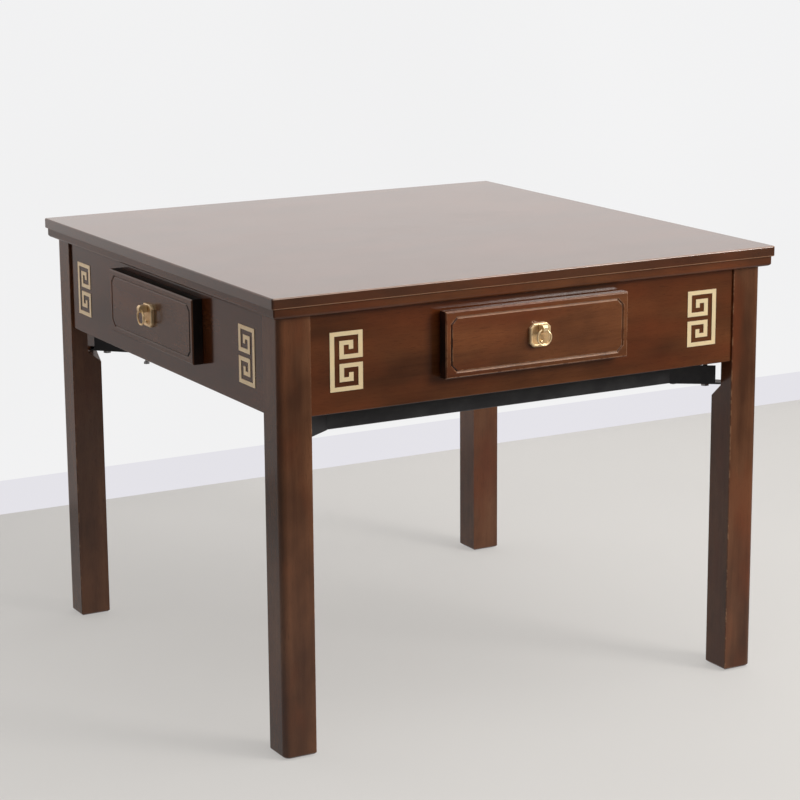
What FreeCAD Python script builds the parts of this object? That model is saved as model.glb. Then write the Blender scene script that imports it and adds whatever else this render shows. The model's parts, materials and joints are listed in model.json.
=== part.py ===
import FreeCAD, Part
import math
import os
from FreeCAD import Vector

# Square wooden game table with four drawers, for mahjong, with a lift-off dining cover.
# Millimetres. +Z is up, the floor is z = 0, the origin is the middle of the table on the floor.
# The front faces -Y. A piece of one side is built at the front and turned about the middle.
# A piece of one corner is built in the +X +Y quarter and mirrored to the others.

# ---- Driving dimensions -------------------------------------------------------------------

TABLE_HEIGHT = 760.0

# Dining cover: one board that lies on the rim, located by four cleats under it.
COVER_SIZE = 960.0
COVER_THICK = 18.0
COVER_TOP_BEVEL = 1.5
COVER_UNDER_BEVEL = 1.0
COVER_CORNER_ROUND = 4.0
COVER_GAP = 0.3
CLEAT_WIDTH = 20.0
CLEAT_SIDE_GAP = 3.0
CLEAT_OVER_FELT = 2.0

# Mitred rim round the playing surface.
RIM_INSET = 4.0
RIM_WIDTH = 60.0
RIM_THICK = 17.0
RIM_LOWER_ROUND = 7.0
RIM_CORNER_ROUND = 3.0
RABBET_DEPTH = 8.0
BOARD_EDGE_GAP = 0.5
PLAY_RECESS = 6.0
FELT_THICK = 2.0
FELT_EDGE_GAP = 0.5

# Battens that carry the playing board.
BEARER_OFFSET = 200.0
BEARER_WIDTH = 40.0
BEARER_OVER_DRAWER = 9.0

# Legs: square, with the inner corner cut flat above a ramp.
COVER_OVERHANG = 17.0
LEG_WIDTH = 57.0
LEG_OUTER_ROUND = 12.0
LEG_EDGE_BEVEL = 1.0
LEG_CORNER_CUT = 26.0
LEG_CUT_UNDER_ARM = 1.0
LEG_RAMP_HEIGHT = 22.0
LEG_FOOT_CHAMFER = 3.0
GLIDE_SIZE = 34.0
GLIDE_HEIGHT = 2.5
GLIDE_BEVEL = 0.8

# Aprons between the legs.
APRON_SETBACK = 4.0
APRON_THICK = 18.0
APRON_HEIGHT = 163.0
APRON_LOWER_ROUND = 2.0

# Brass meander on the apron, beside each leg.
FRET_FROM_LEG = 34.2
FRET_WIDTH = 59.0
FRET_HEIGHT = 96.3
FRET_MIDDLE_GAP = 7.1
FRET_THICK = 0.8
FRET_BELOW_APRON_TOP = 32.0

# Drawer face: a board that overlaps the apron's opening.
FACE_WIDTH = 350.0
FACE_OVER_APRON_EDGE = 38.3
FACE_BELOW_APRON_TOP = 15.0
FACE_THICK = 19.0
FACE_GAP = 0.5
FACE_CHAMFER = 2.0
FACE_LAP_SIDE = 10.0
FACE_LAP_ENDS = 6.0
GROOVE_INSET = 10.5
GROOVE_CLIP = 10.5
GROOVE_WIDTH = 4.0
GROOVE_DEPTH = 2.0

# Drawer box behind the face.
BOX_SIDE_GAP = 3.0
BOX_TOP_GAP = 6.0
BOX_WALL = 12.0
BOX_CENTRE_GAP = 22.5
BOX_BACK_INSET = 8.0
DADO_DEPTH = 4.0
BOX_BOTTOM_THICK = 5.0
BOX_BOTTOM_RISE = 6.7
BOX_GROOVE_DEPTH = 5.0
BOX_PANEL_GAP = 0.5
FRONT_DRAWER_OPEN = 5.0

# Wooden runners under the drawer box's sides.
RUNNER_RISE = 3.0
RUNNER_GAP = 0.3
RUNNER_SIDE_GAP = 1.0
RUNNER_GUIDE_WIDTH = 19.0
RUNNER_GUIDE_HEIGHT = 31.0
RUNNER_CORNER_GAP = 8.0

# Ring pull.
PLATE_RISE = 1.0
PLATE_SIZE = 39.0
PLATE_CLIP = 7.0
PLATE_THICK = 6.0
PLATE_BEVEL = 1.2
STUD_RADIUS = 2.5
STUD_TOP_RADIUS = 1.5
STUD_HEIGHT = 3.0
STUD_DROP = 10.7
POST_WIDTH = 9.0
POST_HEIGHT = 12.4
POST_REACH = 15.5
POST_RISE = 12.0
POST_NOSE_BEVEL = 3.5
POST_TAIL_WIDTH = 4.0
POST_TAIL_GAP = 0.15
POST_TAIL_EXTRA = 6.0
POST_NUT_WIDTH = 8.0
POST_NUT_HEIGHT = 3.2
RING_RADIUS = 13.0
RING_WIRE_RADIUS = 1.6
RING_PIN_RADIUS = 1.5
RING_PIN_GAP = 0.05
RING_PIN_IN_WIRE = 0.1
RING_BESIDE_POST = 1.0
RING_PIN_BELOW_POST = 2.5
RING_OFF_PLATE = 10.5

# Bottom board inside the aprons.
BOTTOM_BOARD_THICK = 9.0
BOTTOM_BOARD_RISE = 2.3
BOTTOM_BOARD_GAP = 0.3

# Steel frame under the bottom board.
RAIL_WIDTH = 25.0
RAIL_HEIGHT = 49.0
RAIL_WALL = 2.0
RAIL_EDGE_BEVEL = 2.0
FRONT_RAIL_SETBACK = 81.0
SIDE_RAIL_SETBACK = 101.5
RAIL_END_OVERHANG = 8.5
ARM_PLATE = 3.0
ARM_FLARE = 30.0
ARM_OUTER_SIDE = 13.0
ARM_INNER_SIDE = 11.0
ARM_WEB_HEIGHT = 30.0
ARM_WEB_SHORT = 10.0

# Corner blocks and fasteners.
BLOCK_DEPTH = 55.0
BLOCK_HEIGHT = 120.0
BOLT_HOLE_GAP = 0.15
LEG_BOLT_RADIUS = 4.0
LEG_BOLT_IN_LEG = 36.0
LEG_BOLT_RISE = 60.0
LEG_BOLT_FLATS = 13.0
LEG_BOLT_HEAD = 5.3
ARM_BOLT_FROM_LEG = 30.0
ARM_BOLT_ASIDE = 3.0
ARM_BOLT_RADIUS = 4.0
ARM_BOLT_IN_BLOCK = 25.0
ARM_BOLT_FLATS = 13.0
ARM_BOLT_HEAD = 5.3
FRAME_SCREW_RADIUS = 3.0
FRAME_SCREW_FLATS = 10.0
FRAME_SCREW_HEAD = 4.0
FRAME_SCREW_FROM_END = 14.0
SIDE_SCREW_FROM_END = 20.0
LOOSE_SCREW_DROP = 16.0

# ---- Places that follow from the dimensions ------------------------------------------------

ROOT_2 = math.sqrt(2)

COVER_OUTER = COVER_SIZE / 2
COVER_UNDER = TABLE_HEIGHT - COVER_THICK
RIM_TOP = COVER_UNDER - COVER_GAP
FRAME_TOP = RIM_TOP - RIM_THICK
RIM_OUTER = COVER_OUTER - RIM_INSET
RIM_INNER = RIM_OUTER - RIM_WIDTH
BOARD_TOP = RIM_TOP - PLAY_RECESS - FELT_THICK
FELT_TOP = BOARD_TOP + FELT_THICK

LEG_OUTER = COVER_OUTER - COVER_OVERHANG
LEG_INNER = LEG_OUTER - LEG_WIDTH
LEG_MIDDLE = LEG_OUTER - LEG_WIDTH / 2
LEG_FLAT_SUM = 2 * LEG_INNER + LEG_CORNER_CUT     # x + y on the leg's 45 degree flat

APRON_OUTER = LEG_OUTER - APRON_SETBACK
APRON_INNER = APRON_OUTER - APRON_THICK
APRON_BOTTOM = FRAME_TOP - APRON_HEIGHT

FACE_BACK = APRON_OUTER + FACE_GAP
FACE_FRONT = FACE_BACK + FACE_THICK
FACE_BOTTOM = APRON_BOTTOM + FACE_OVER_APRON_EDGE
FACE_TOP = FRAME_TOP - FACE_BELOW_APRON_TOP
FACE_MIDDLE = (FACE_BOTTOM + FACE_TOP) / 2
OPENING_HALF = FACE_WIDTH / 2 - FACE_LAP_SIDE
OPENING_BOTTOM = FACE_BOTTOM + FACE_LAP_ENDS
OPENING_TOP = FACE_TOP - FACE_LAP_ENDS

RUNNER_TOP = OPENING_BOTTOM + RUNNER_RISE
BOX_HALF = OPENING_HALF - BOX_SIDE_GAP
BOX_INSIDE_HALF = BOX_HALF - BOX_WALL
BOX_UNDER = RUNNER_TOP + RUNNER_GAP
BOX_TOP = OPENING_TOP - BOX_TOP_GAP
BOX_INNER_END = BOX_HALF + BOX_CENTRE_GAP
BOX_FRONT_INSIDE = FACE_BACK - BOX_WALL
BOX_FLOOR_UNDER = BOX_UNDER + BOX_BOTTOM_RISE
BOX_FLOOR_TOP = BOX_FLOOR_UNDER + BOX_BOTTOM_THICK

RUNNER_GUIDE_INNER = BOX_HALF + RUNNER_SIDE_GAP
RUNNER_OUTER = RUNNER_GUIDE_INNER + RUNNER_GUIDE_WIDTH
RUNNER_INNER_END = RUNNER_OUTER + RUNNER_CORNER_GAP

PLATE_FRONT = FACE_FRONT + PLATE_THICK
PLATE_MIDDLE = FACE_MIDDLE + PLATE_RISE
POST_MIDDLE = PLATE_MIDDLE + POST_RISE
POST_FRONT = PLATE_FRONT + POST_REACH
RING_PLANE = PLATE_FRONT + RING_OFF_PLATE
PIN_LEVEL = POST_MIDDLE - RING_PIN_BELOW_POST
PIN_HALF = POST_WIDTH / 2 + RING_BESIDE_POST
RING_MIDDLE = PIN_LEVEL - math.sqrt(RING_RADIUS ** 2 - PIN_HALF ** 2)

BOTTOM_BOARD_UNDER = APRON_BOTTOM + BOTTOM_BOARD_RISE
BOTTOM_BOARD_TOP = BOTTOM_BOARD_UNDER + BOTTOM_BOARD_THICK

RAIL_TOP = BOTTOM_BOARD_UNDER
RAIL_BOTTOM = RAIL_TOP - RAIL_HEIGHT
LEG_CUT_BOTTOM = RAIL_BOTTOM - LEG_CUT_UNDER_ARM
FRONT_RAIL_OUTER = APRON_OUTER - FRONT_RAIL_SETBACK
FRONT_RAIL_INNER = FRONT_RAIL_OUTER - RAIL_WIDTH
SIDE_RAIL_OUTER = APRON_OUTER - SIDE_RAIL_SETBACK
SIDE_RAIL_INNER = SIDE_RAIL_OUTER - RAIL_WIDTH
FRONT_RAIL_END = SIDE_RAIL_OUTER + RAIL_END_OVERHANG

BLOCK_INNER_SUM = LEG_FLAT_SUM - BLOCK_DEPTH * ROOT_2
BLOCK_TOP = BOTTOM_BOARD_TOP + BLOCK_HEIGHT

UP = Vector(0, 0, 1)
FRONT = Vector(0, -1, 0)
BACK = Vector(0, 1, 0)
DIAGONAL = Vector(1, 1, 0).normalize()

SIDES = {"front": 0, "right": 1, "back": 2, "left": 3}                     # quarter turns
CORNERS = {"front_right": (1, -1), "back_right": (1, 1), "back_left": (-1, 1), "front_left": (-1, -1)}


# ---- Shape helpers ---------------------------------------------------------------------------

def block(x_limits, y_limits, z_limits):
    """Rectangular solid between two limits on each axis, given in either order."""
    limits = (x_limits, y_limits, z_limits)
    low = Vector(*[min(pair) for pair in limits])
    high = Vector(*[max(pair) for pair in limits])
    size = high - low
    return Part.makeBox(size.x, size.y, size.z, low)


def prism(outline, z_low, z_high):
    """Upright prism on a list of plan points."""
    points = [Vector(x, y, z_low) for x, y in outline]
    face = Part.Face(Part.makePolygon(points + points[:1]))
    return face.extrude(Vector(0, 0, z_high - z_low))


def skinned(*outlines):
    """Solid through a row of flat outlines that all have the same number of corners."""
    faces = [Part.Face(Part.makePolygon(end + end[:1])) for end in (outlines[0], outlines[-1])]
    for first, second in zip(outlines, outlines[1:]):
        for index in range(len(first)):
            after = (index + 1) % len(first)
            corners = [first[index], first[after], second[after], second[index]]
            faces.append(Part.Face(Part.makePolygon(corners + corners[:1])))
    solid = Part.Solid(Part.Shell(faces))
    if solid.Volume < 0:
        solid.reverse()
    return solid


def clipped_rectangle(half_width, half_height, clip, y, z_middle):
    """Corner points of an upright rectangle with 45 degree corners, in a plane across Y."""
    quarter = [(half_width, half_height - clip), (half_width - clip, half_height)]
    signs = ((1, 1, 1), (-1, 1, -1), (-1, -1, 1), (1, -1, -1))
    points = []
    for sign_x, sign_z, order in signs:
        for across, rise in quarter[::order]:
            points.append(Vector(sign_x * across, y, z_middle + sign_z * rise))
    return points


def grown_rectangle(half_width, half_height, clip, growth, y, z_middle):
    """The clipped rectangle moved outwards by the same amount along all eight edges."""
    new_clip = clip + growth * (2 - ROOT_2)
    return clipped_rectangle(half_width + growth, half_height + growth, new_clip, y, z_middle)


def edges_where(shape, test):
    """Edges whose ends and middle all pass a test on their place."""
    chosen = []
    for edge in shape.Edges:
        start, end = edge.ParameterRange
        points = [edge.valueAt(at) for at in (start, (start + end) / 2, end)]
        if all(test(point) for point in points):
            chosen.append(edge)
    return chosen


def near(value, target):
    return abs(value - target) < 0.001


def upright_edges(shape, x, y):
    return edges_where(shape, lambda point: near(abs(point.x), x) and near(abs(point.y), y))


def turned(shape, quarters):
    """Copy turned about the middle of the table, anticlockwise seen from above."""
    copy = shape.copy()
    copy.rotate(Vector(0, 0, 0), UP, 90 * quarters)
    return copy


def at_corner(shape, signs):
    """Copy of a piece from the +X +Y quarter, mirrored into another quarter."""
    copy = shape.copy()
    for sign, normal in zip(signs, (Vector(1, 0, 0), Vector(0, 1, 0))):
        if sign < 0:
            copy = copy.mirror(Vector(0, 0, 0), normal)
    return copy


def rod(start, direction, radius, length):
    return Part.makeCylinder(radius, length, start, direction)


def hexagon(start, direction, flats, length):
    """Six-sided bar with a given width across its flats."""
    reach = flats / math.sqrt(3)
    angles = [math.radians(60 * step) for step in range(6)]
    outline = [(reach * math.cos(angle), reach * math.sin(angle)) for angle in angles]
    bar = prism(outline, 0, length)
    bar.Placement = FreeCAD.Placement(start, FreeCAD.Rotation(UP, direction))
    return bar


def bolt(seat, direction, radius, length, flats, head_height):
    """Hexagon head behind the seat and a plain shank in front of it."""
    head_start = seat - direction * head_height
    shank = rod(seat, direction, radius, length)
    return hexagon(head_start, direction, flats, head_height).fuse(shank).removeSplitter()


# ---- Cover and playing surface ---------------------------------------------------------------

def cover_board():
    board = block((-COVER_OUTER, COVER_OUTER), (-COVER_OUTER, COVER_OUTER), (COVER_UNDER, TABLE_HEIGHT))
    board = board.makeFillet(COVER_CORNER_ROUND, upright_edges(board, COVER_OUTER, COVER_OUTER))
    top_edges = edges_where(board, lambda point: near(point.z, TABLE_HEIGHT))
    board = board.makeChamfer(COVER_TOP_BEVEL, top_edges)
    under_edges = edges_where(board, lambda point: near(point.z, COVER_UNDER))
    return board.makeChamfer(COVER_UNDER_BEVEL, under_edges)


def cover_cleats():
    """Four strips under the cover that drop just inside the rim."""
    outer = RIM_INNER - CLEAT_SIDE_GAP
    inner = outer - CLEAT_WIDTH
    levels = (FELT_TOP + CLEAT_OVER_FELT, COVER_UNDER)
    long_strip = block((-outer, outer), (-outer, -inner), levels)
    short_strip = block((-outer, -inner), (-inner, inner), levels)
    strips = [turned(strip, half) for strip in (long_strip, short_strip) for half in (0, 2)]
    return Part.makeCompound(strips)


def rim_board():
    """Front rim board: moulded section with a rabbet, mitred at both ends."""
    round_middle = Vector(0, -RIM_OUTER + RIM_LOWER_ROUND, FRAME_TOP + RIM_LOWER_ROUND)
    slant = RIM_LOWER_ROUND / ROOT_2
    arc_start = Vector(0, -RIM_OUTER, round_middle.z)
    arc_middle = round_middle + Vector(0, -slant, -slant)
    arc_end = Vector(0, round_middle.y, FRAME_TOP)
    corners = [
        arc_end,
        Vector(0, -RIM_INNER - RABBET_DEPTH, FRAME_TOP),
        Vector(0, -RIM_INNER - RABBET_DEPTH, BOARD_TOP),
        Vector(0, -RIM_INNER, BOARD_TOP),
        Vector(0, -RIM_INNER, RIM_TOP),
        Vector(0, -RIM_OUTER, RIM_TOP),
        arc_start,
    ]
    arc = Part.Arc(arc_start, arc_middle, arc_end).toShape()
    section = Part.Face(Part.Wire([arc] + Part.makePolygon(corners).Edges))
    section.translate(Vector(-RIM_OUTER, 0, 0))
    bar = section.extrude(Vector(2 * RIM_OUTER, 0, 0))
    mitre = prism([(0, 0), (-RIM_OUTER, -RIM_OUTER), (RIM_OUTER, -RIM_OUTER)], FRAME_TOP, RIM_TOP)
    ring_block = block((-RIM_OUTER, RIM_OUTER), (-RIM_OUTER, RIM_OUTER), (FRAME_TOP, RIM_TOP))
    rounded = ring_block.makeFillet(RIM_CORNER_ROUND, upright_edges(ring_block, RIM_OUTER, RIM_OUTER))
    return bar.common(mitre).common(rounded)


def playing_board():
    """Board whose edge lies in the rim's rabbet."""
    half = RIM_INNER + RABBET_DEPTH - BOARD_EDGE_GAP
    return block((-half, half), (-half, half), (FRAME_TOP, BOARD_TOP))


def playing_felt():
    half = RIM_INNER - FELT_EDGE_GAP
    return block((-half, half), (-half, half), (BOARD_TOP, FELT_TOP))


def board_bearers():
    """Two battens from front apron to back apron, over the side drawers."""
    battens = []
    levels = (BOX_TOP + BEARER_OVER_DRAWER, FRAME_TOP)
    for middle in (-BEARER_OFFSET, BEARER_OFFSET):
        x_limits = (middle - BEARER_WIDTH / 2, middle + BEARER_WIDTH / 2)
        battens.append(block(x_limits, (-APRON_INNER, APRON_INNER), levels))
    return Part.makeCompound(battens)


# ---- Legs, aprons and corner joints ------------------------------------------------------------

def leg_corner_waste():
    """What is cut off the leg's inner corner: a flat down to the ramp, then the ramp."""
    low = LEG_INNER - LEG_CORNER_CUT
    high = LEG_FLAT_SUM - low
    triangle = [(low, low), (high, low), (low, high)]
    flat = prism(triangle, LEG_CUT_BOTTOM, FRAME_TOP + LEG_WIDTH)
    slope = LEG_RAMP_HEIGHT / LEG_CORNER_CUT
    apex = Vector(low, low, LEG_CUT_BOTTOM - (LEG_FLAT_SUM - 2 * low) * slope)
    rim = [Vector(x, y, LEG_CUT_BOTTOM) for x, y in triangle]
    faces = [Part.Face(Part.makePolygon(rim + rim[:1]))]
    for index in range(3):
        pair = [rim[index], rim[(index + 1) % 3]]
        faces.append(Part.Face(Part.makePolygon(pair + [apex, pair[0]])))
    ramp = Part.Solid(Part.Shell(faces))
    if ramp.Volume < 0:
        ramp.reverse()
    return flat.fuse(ramp)


def leg_bolt_place():
    """Where the leg's bolt starts, on the corner block's inner face."""
    middle = BLOCK_INNER_SUM / 2
    return Vector(middle, middle, BOTTOM_BOARD_TOP + LEG_BOLT_RISE)


def leg_bolt_hole():
    length = BLOCK_DEPTH + LEG_BOLT_IN_LEG
    return rod(leg_bolt_place(), DIAGONAL, LEG_BOLT_RADIUS + BOLT_HOLE_GAP, length)


def leg():
    limits = (LEG_INNER, LEG_OUTER)
    post = block(limits, limits, (GLIDE_HEIGHT, FRAME_TOP))
    post = post.makeFillet(LEG_OUTER_ROUND, upright_edges(post, LEG_OUTER, LEG_OUTER))
    foot_edges = edges_where(post, lambda point: near(point.z, GLIDE_HEIGHT))
    post = post.makeChamfer(LEG_FOOT_CHAMFER, foot_edges)
    for x, y in ((LEG_INNER, LEG_OUTER), (LEG_OUTER, LEG_INNER)):
        post = post.makeChamfer(LEG_EDGE_BEVEL, upright_edges(post, x, y))
    return post.cut(leg_corner_waste()).cut(leg_bolt_hole())


def leg_glide():
    """Square plastic pad under the foot."""
    limits = (LEG_MIDDLE - GLIDE_SIZE / 2, LEG_MIDDLE + GLIDE_SIZE / 2)
    pad = block(limits, limits, (0, GLIDE_HEIGHT))
    return pad.makeChamfer(GLIDE_BEVEL, edges_where(pad, lambda point: near(point.z, 0)))


def apron():
    """Front apron with the drawer opening."""
    board = block((-LEG_INNER, LEG_INNER), (-APRON_OUTER, -APRON_INNER), (APRON_BOTTOM, FRAME_TOP))
    under_edges = edges_where(board, lambda point: near(point.z, APRON_BOTTOM))
    lower_edges = [edge for edge in under_edges if near(edge.CenterOfMass.y, -APRON_OUTER)]
    board = board.makeFillet(APRON_LOWER_ROUND, lower_edges)
    opening = block(
        (-OPENING_HALF, OPENING_HALF),
        (-APRON_OUTER - APRON_THICK, -APRON_INNER + APRON_THICK),
        (OPENING_BOTTOM, OPENING_TOP),
    )
    return board.cut(opening)


def corner_block():
    """Block glued into the corner between two aprons and the leg's flat."""
    outline = [
        (APRON_INNER, LEG_FLAT_SUM - APRON_INNER),
        (LEG_FLAT_SUM - APRON_INNER, APRON_INNER),
        (BLOCK_INNER_SUM - APRON_INNER, APRON_INNER),
        (APRON_INNER, BLOCK_INNER_SUM - APRON_INNER),
    ]
    return prism(outline, BOTTOM_BOARD_TOP, BLOCK_TOP).cut(leg_bolt_hole()).cut(arm_bolt_hole())


def leg_bolt():
    """Bolt through the corner block into the leg."""
    length = BLOCK_DEPTH + LEG_BOLT_IN_LEG
    return bolt(leg_bolt_place(), DIAGONAL, LEG_BOLT_RADIUS, length, LEG_BOLT_FLATS, LEG_BOLT_HEAD)


# ---- Brass meander -------------------------------------------------------------------------------

# The lower half's band as corner cells (column, row), from the spiral's eye to the outer bar.
# Column 0 lies beside the leg, and row 0 is the outer row.
FRET_COLUMNS = 7
FRET_ROWS = 6
FRET_BAND = [(4, 3), (4, 2), (2, 2), (2, 5), (6, 5), (6, 0), (0, 0), (0, 5)]


def meander():
    """The meander to the right of the front drawer: two spirals on one outer bar."""
    cell_x = FRET_WIDTH / FRET_COLUMNS
    cell_z = (FRET_HEIGHT - FRET_MIDDLE_GAP) / 2 / FRET_ROWS
    leg_side = LEG_INNER - FRET_FROM_LEG
    top = FRAME_TOP - FRET_BELOW_APRON_TOP
    bottom = top - FRET_HEIGHT
    depth = (-APRON_OUTER - FRET_THICK, -APRON_OUTER)
    bars = []
    for (column_a, row_a), (column_b, row_b) in zip(FRET_BAND, FRET_BAND[1:]):
        columns = (min(column_a, column_b), max(column_a, column_b) + 1)
        rows = (min(row_a, row_b), max(row_a, row_b) + 1)
        x_limits = [leg_side - column * cell_x for column in columns]
        bars.append(block(x_limits, depth, [bottom + row * cell_z for row in rows]))
        bars.append(block(x_limits, depth, [top - row * cell_z for row in rows]))
    bars.append(block((leg_side, leg_side - cell_x), depth, (bottom, top)))
    return bars[0].multiFuse(bars[1:]).removeSplitter()


def meander_pair():
    right = meander()
    return Part.makeCompound([right, right.mirror(Vector(0, 0, 0), Vector(1, 0, 0))])


# ---- Drawers ---------------------------------------------------------------------------------------

def face_groove():
    """V groove round the drawer face, with 45 degree corners."""
    half_width = FACE_WIDTH / 2 - GROOVE_INSET
    half_height = (FACE_TOP - FACE_BOTTOM) / 2 - GROOVE_INSET

    def ring(growth, y):
        return grown_rectangle(half_width, half_height, GROOVE_CLIP, growth, y, FACE_MIDDLE)

    bottom = ring(0, -FACE_FRONT + GROOVE_DEPTH)
    outer = skinned(ring(GROOVE_WIDTH / 2, -FACE_FRONT), bottom)
    inner = skinned(ring(-GROOVE_WIDTH / 2, -FACE_FRONT), bottom)
    return outer.cut(inner)


def square_bar(width, y_limits, z_middle):
    """Square bar along Y on the middle of the drawer."""
    half = width / 2
    return block((-half, half), y_limits, (z_middle - half, z_middle + half))


def pull_tail_hole():
    """Square hole for the pull's tail through plate, face board and box front."""
    width = POST_TAIL_WIDTH + 2 * POST_TAIL_GAP
    return square_bar(width, (-PLATE_FRONT, -BOX_FRONT_INSIDE), POST_MIDDLE)


def drawer_face():
    half = FACE_WIDTH / 2
    board = block((-half, half), (-FACE_FRONT, -FACE_BACK), (FACE_BOTTOM, FACE_TOP))
    board = board.makeChamfer(FACE_CHAMFER, edges_where(board, lambda point: near(point.y, -FACE_FRONT)))
    return board.cut(face_groove()).cut(pull_tail_hole())


def drawer_panel_space(z_limits):
    """The box's bottom panel, with its edges in the grooves of front and sides."""
    reach = BOX_GROOVE_DEPTH - BOX_PANEL_GAP
    half = BOX_INSIDE_HALF + reach
    return block((-half, half), (-BOX_FRONT_INSIDE - reach, -BOX_INNER_END), z_limits)


def drawer_bottom():
    return drawer_panel_space((BOX_FLOOR_UNDER, BOX_FLOOR_TOP))


def drawer_box():
    """Two sides, a front and a back. The ends sit in dados, the bottom panel in grooves."""
    levels = (BOX_UNDER, BOX_TOP)
    groove_half = BOX_INSIDE_HALF + BOX_GROOVE_DEPTH
    groove_front = -BOX_FRONT_INSIDE - BOX_GROOVE_DEPTH
    groove_levels = (BOX_FLOOR_UNDER, BOX_FLOOR_TOP)
    groove = block((-groove_half, groove_half), (groove_front, -BOX_INNER_END), groove_levels)
    dado_half = BOX_INSIDE_HALF + DADO_DEPTH
    back_front = -BOX_INNER_END - BOX_BACK_INSET - BOX_WALL
    front = block((-dado_half, dado_half), (-FACE_BACK, -BOX_FRONT_INSIDE), levels)
    back = block((-dado_half, dado_half), (back_front, back_front + BOX_WALL), (BOX_FLOOR_TOP, BOX_TOP))
    back_dado = block((-dado_half, dado_half), (back_front, back_front + BOX_WALL), levels)
    side = block((BOX_INSIDE_HALF, BOX_HALF), (-FACE_BACK, -BOX_INNER_END), levels)
    side = side.cut(front).cut(back_dado).cut(groove)
    other_side = side.mirror(Vector(0, 0, 0), Vector(1, 0, 0))
    front = front.cut(groove).cut(pull_tail_hole())
    return Part.makeCompound([side, other_side, front, back])


def drawer_runner_pair():
    """L-section runners on the bottom board: a track under the box and a guide beside it."""
    ends = (-APRON_INNER, -RUNNER_INNER_END)
    track = block((BOX_INSIDE_HALF, RUNNER_OUTER), ends, (BOTTOM_BOARD_TOP, RUNNER_TOP))
    guide_top = RUNNER_TOP + RUNNER_GUIDE_HEIGHT
    guide = block((RUNNER_GUIDE_INNER, RUNNER_OUTER), ends, (BOTTOM_BOARD_TOP, guide_top))
    runner = track.fuse(guide).removeSplitter()
    return [runner, runner.mirror(Vector(0, 0, 0), Vector(1, 0, 0))]


# ---- Ring pull -----------------------------------------------------------------------------------------

def pull_plate():
    """Bevelled plate with clipped corners and a stud below the middle, for the ring to fall on."""
    half = PLATE_SIZE / 2

    def ring(growth, y):
        return grown_rectangle(half, half, PLATE_CLIP, growth, y, PLATE_MIDDLE)

    shoulder = -PLATE_FRONT + PLATE_BEVEL
    base = skinned(ring(0, -FACE_FRONT), ring(0, shoulder))
    bevel = skinned(ring(0, shoulder), ring(-PLATE_BEVEL, -PLATE_FRONT))
    plate = base.fuse(bevel).removeSplitter()
    stud_place = Vector(0, -PLATE_FRONT, PLATE_MIDDLE - STUD_DROP)
    stud = Part.makeCone(STUD_RADIUS, STUD_TOP_RADIUS, STUD_HEIGHT, stud_place, FRONT)
    return plate.fuse(stud).cut(pull_tail_hole())


def pull_post():
    """Post with a bored eye. Its square tail runs through the drawer front to a nut inside."""
    post = block(
        (-POST_WIDTH / 2, POST_WIDTH / 2),
        (-POST_FRONT, -PLATE_FRONT),
        (POST_MIDDLE - POST_HEIGHT / 2, POST_MIDDLE + POST_HEIGHT / 2),
    )
    nose_edges = [edge for edge in edges_where(post, lambda point: near(point.y, -POST_FRONT))
                  if near(edge.Length, POST_WIDTH)]
    post = post.makeChamfer(POST_NOSE_BEVEL, nose_edges)
    eye_start = Vector(-POST_WIDTH, -RING_PLANE, PIN_LEVEL)
    post = post.cut(rod(eye_start, Vector(1, 0, 0), RING_PIN_RADIUS + RING_PIN_GAP, 2 * POST_WIDTH))
    tail_end = -BOX_FRONT_INSIDE + POST_TAIL_EXTRA
    tail = square_bar(POST_TAIL_WIDTH, (-PLATE_FRONT, tail_end), POST_MIDDLE)
    nut_limits = (-BOX_FRONT_INSIDE, -BOX_FRONT_INSIDE + POST_NUT_HEIGHT)
    nut = square_bar(POST_NUT_WIDTH, nut_limits, POST_MIDDLE)
    return post.fuse(tail).fuse(nut).removeSplitter()


# The ring's wire is eight-sided and bent in even steps, a twenty-fourth of a turn each.
WIRE_SIDES = 8
BENDS_IN_TURN = 24
RING_END_TURN = math.asin(PIN_HALF / RING_RADIUS)          # from the ring's top to the pin's end
RING_BENDS = round(BENDS_IN_TURN * (1 - RING_END_TURN / math.pi))
RING_STEP = (2 * math.pi - 2 * RING_END_TURN) / RING_BENDS


def wire_section(turn, bend_turn, bend):
    """Outline of the wire at a bend: turned that far round the ring, cut along the bend's middle."""
    radius = Vector(math.sin(turn), 0, math.cos(turn))
    across = Vector(math.sin(bend_turn), 0, math.cos(bend_turn)) / math.cos(bend / 2)
    middle = Vector(0, -RING_PLANE, RING_MIDDLE) + radius * RING_RADIUS
    reach = RING_WIRE_RADIUS / math.cos(math.pi / WIRE_SIDES)
    angles = [math.pi * (2 * side + 1) / WIRE_SIDES for side in range(WIRE_SIDES)]
    return [middle + (across * math.cos(angle) + FRONT * math.sin(angle)) * reach for angle in angles]


def pull_ring():
    """Wire ring closed by a straight round pin that runs through the post's eye."""
    end_bend = RING_END_TURN + RING_STEP / 2
    outlines = [wire_section(RING_END_TURN, end_bend / 2, end_bend)]
    for step in range(1, RING_BENDS):
        turn = RING_END_TURN + step * RING_STEP
        outlines.append(wire_section(turn, turn, RING_STEP))
    outlines.append(wire_section(-RING_END_TURN, -end_bend / 2, end_bend))
    pin_reach = PIN_HALF + RING_PIN_RADIUS * math.tan(end_bend / 2) + RING_PIN_IN_WIRE
    pin = rod(Vector(-pin_reach, -RING_PLANE, PIN_LEVEL), Vector(1, 0, 0), RING_PIN_RADIUS, 2 * pin_reach)
    return skinned(*outlines).fuse(pin)


# ---- Bottom board and steel frame ----------------------------------------------------------------------

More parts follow.
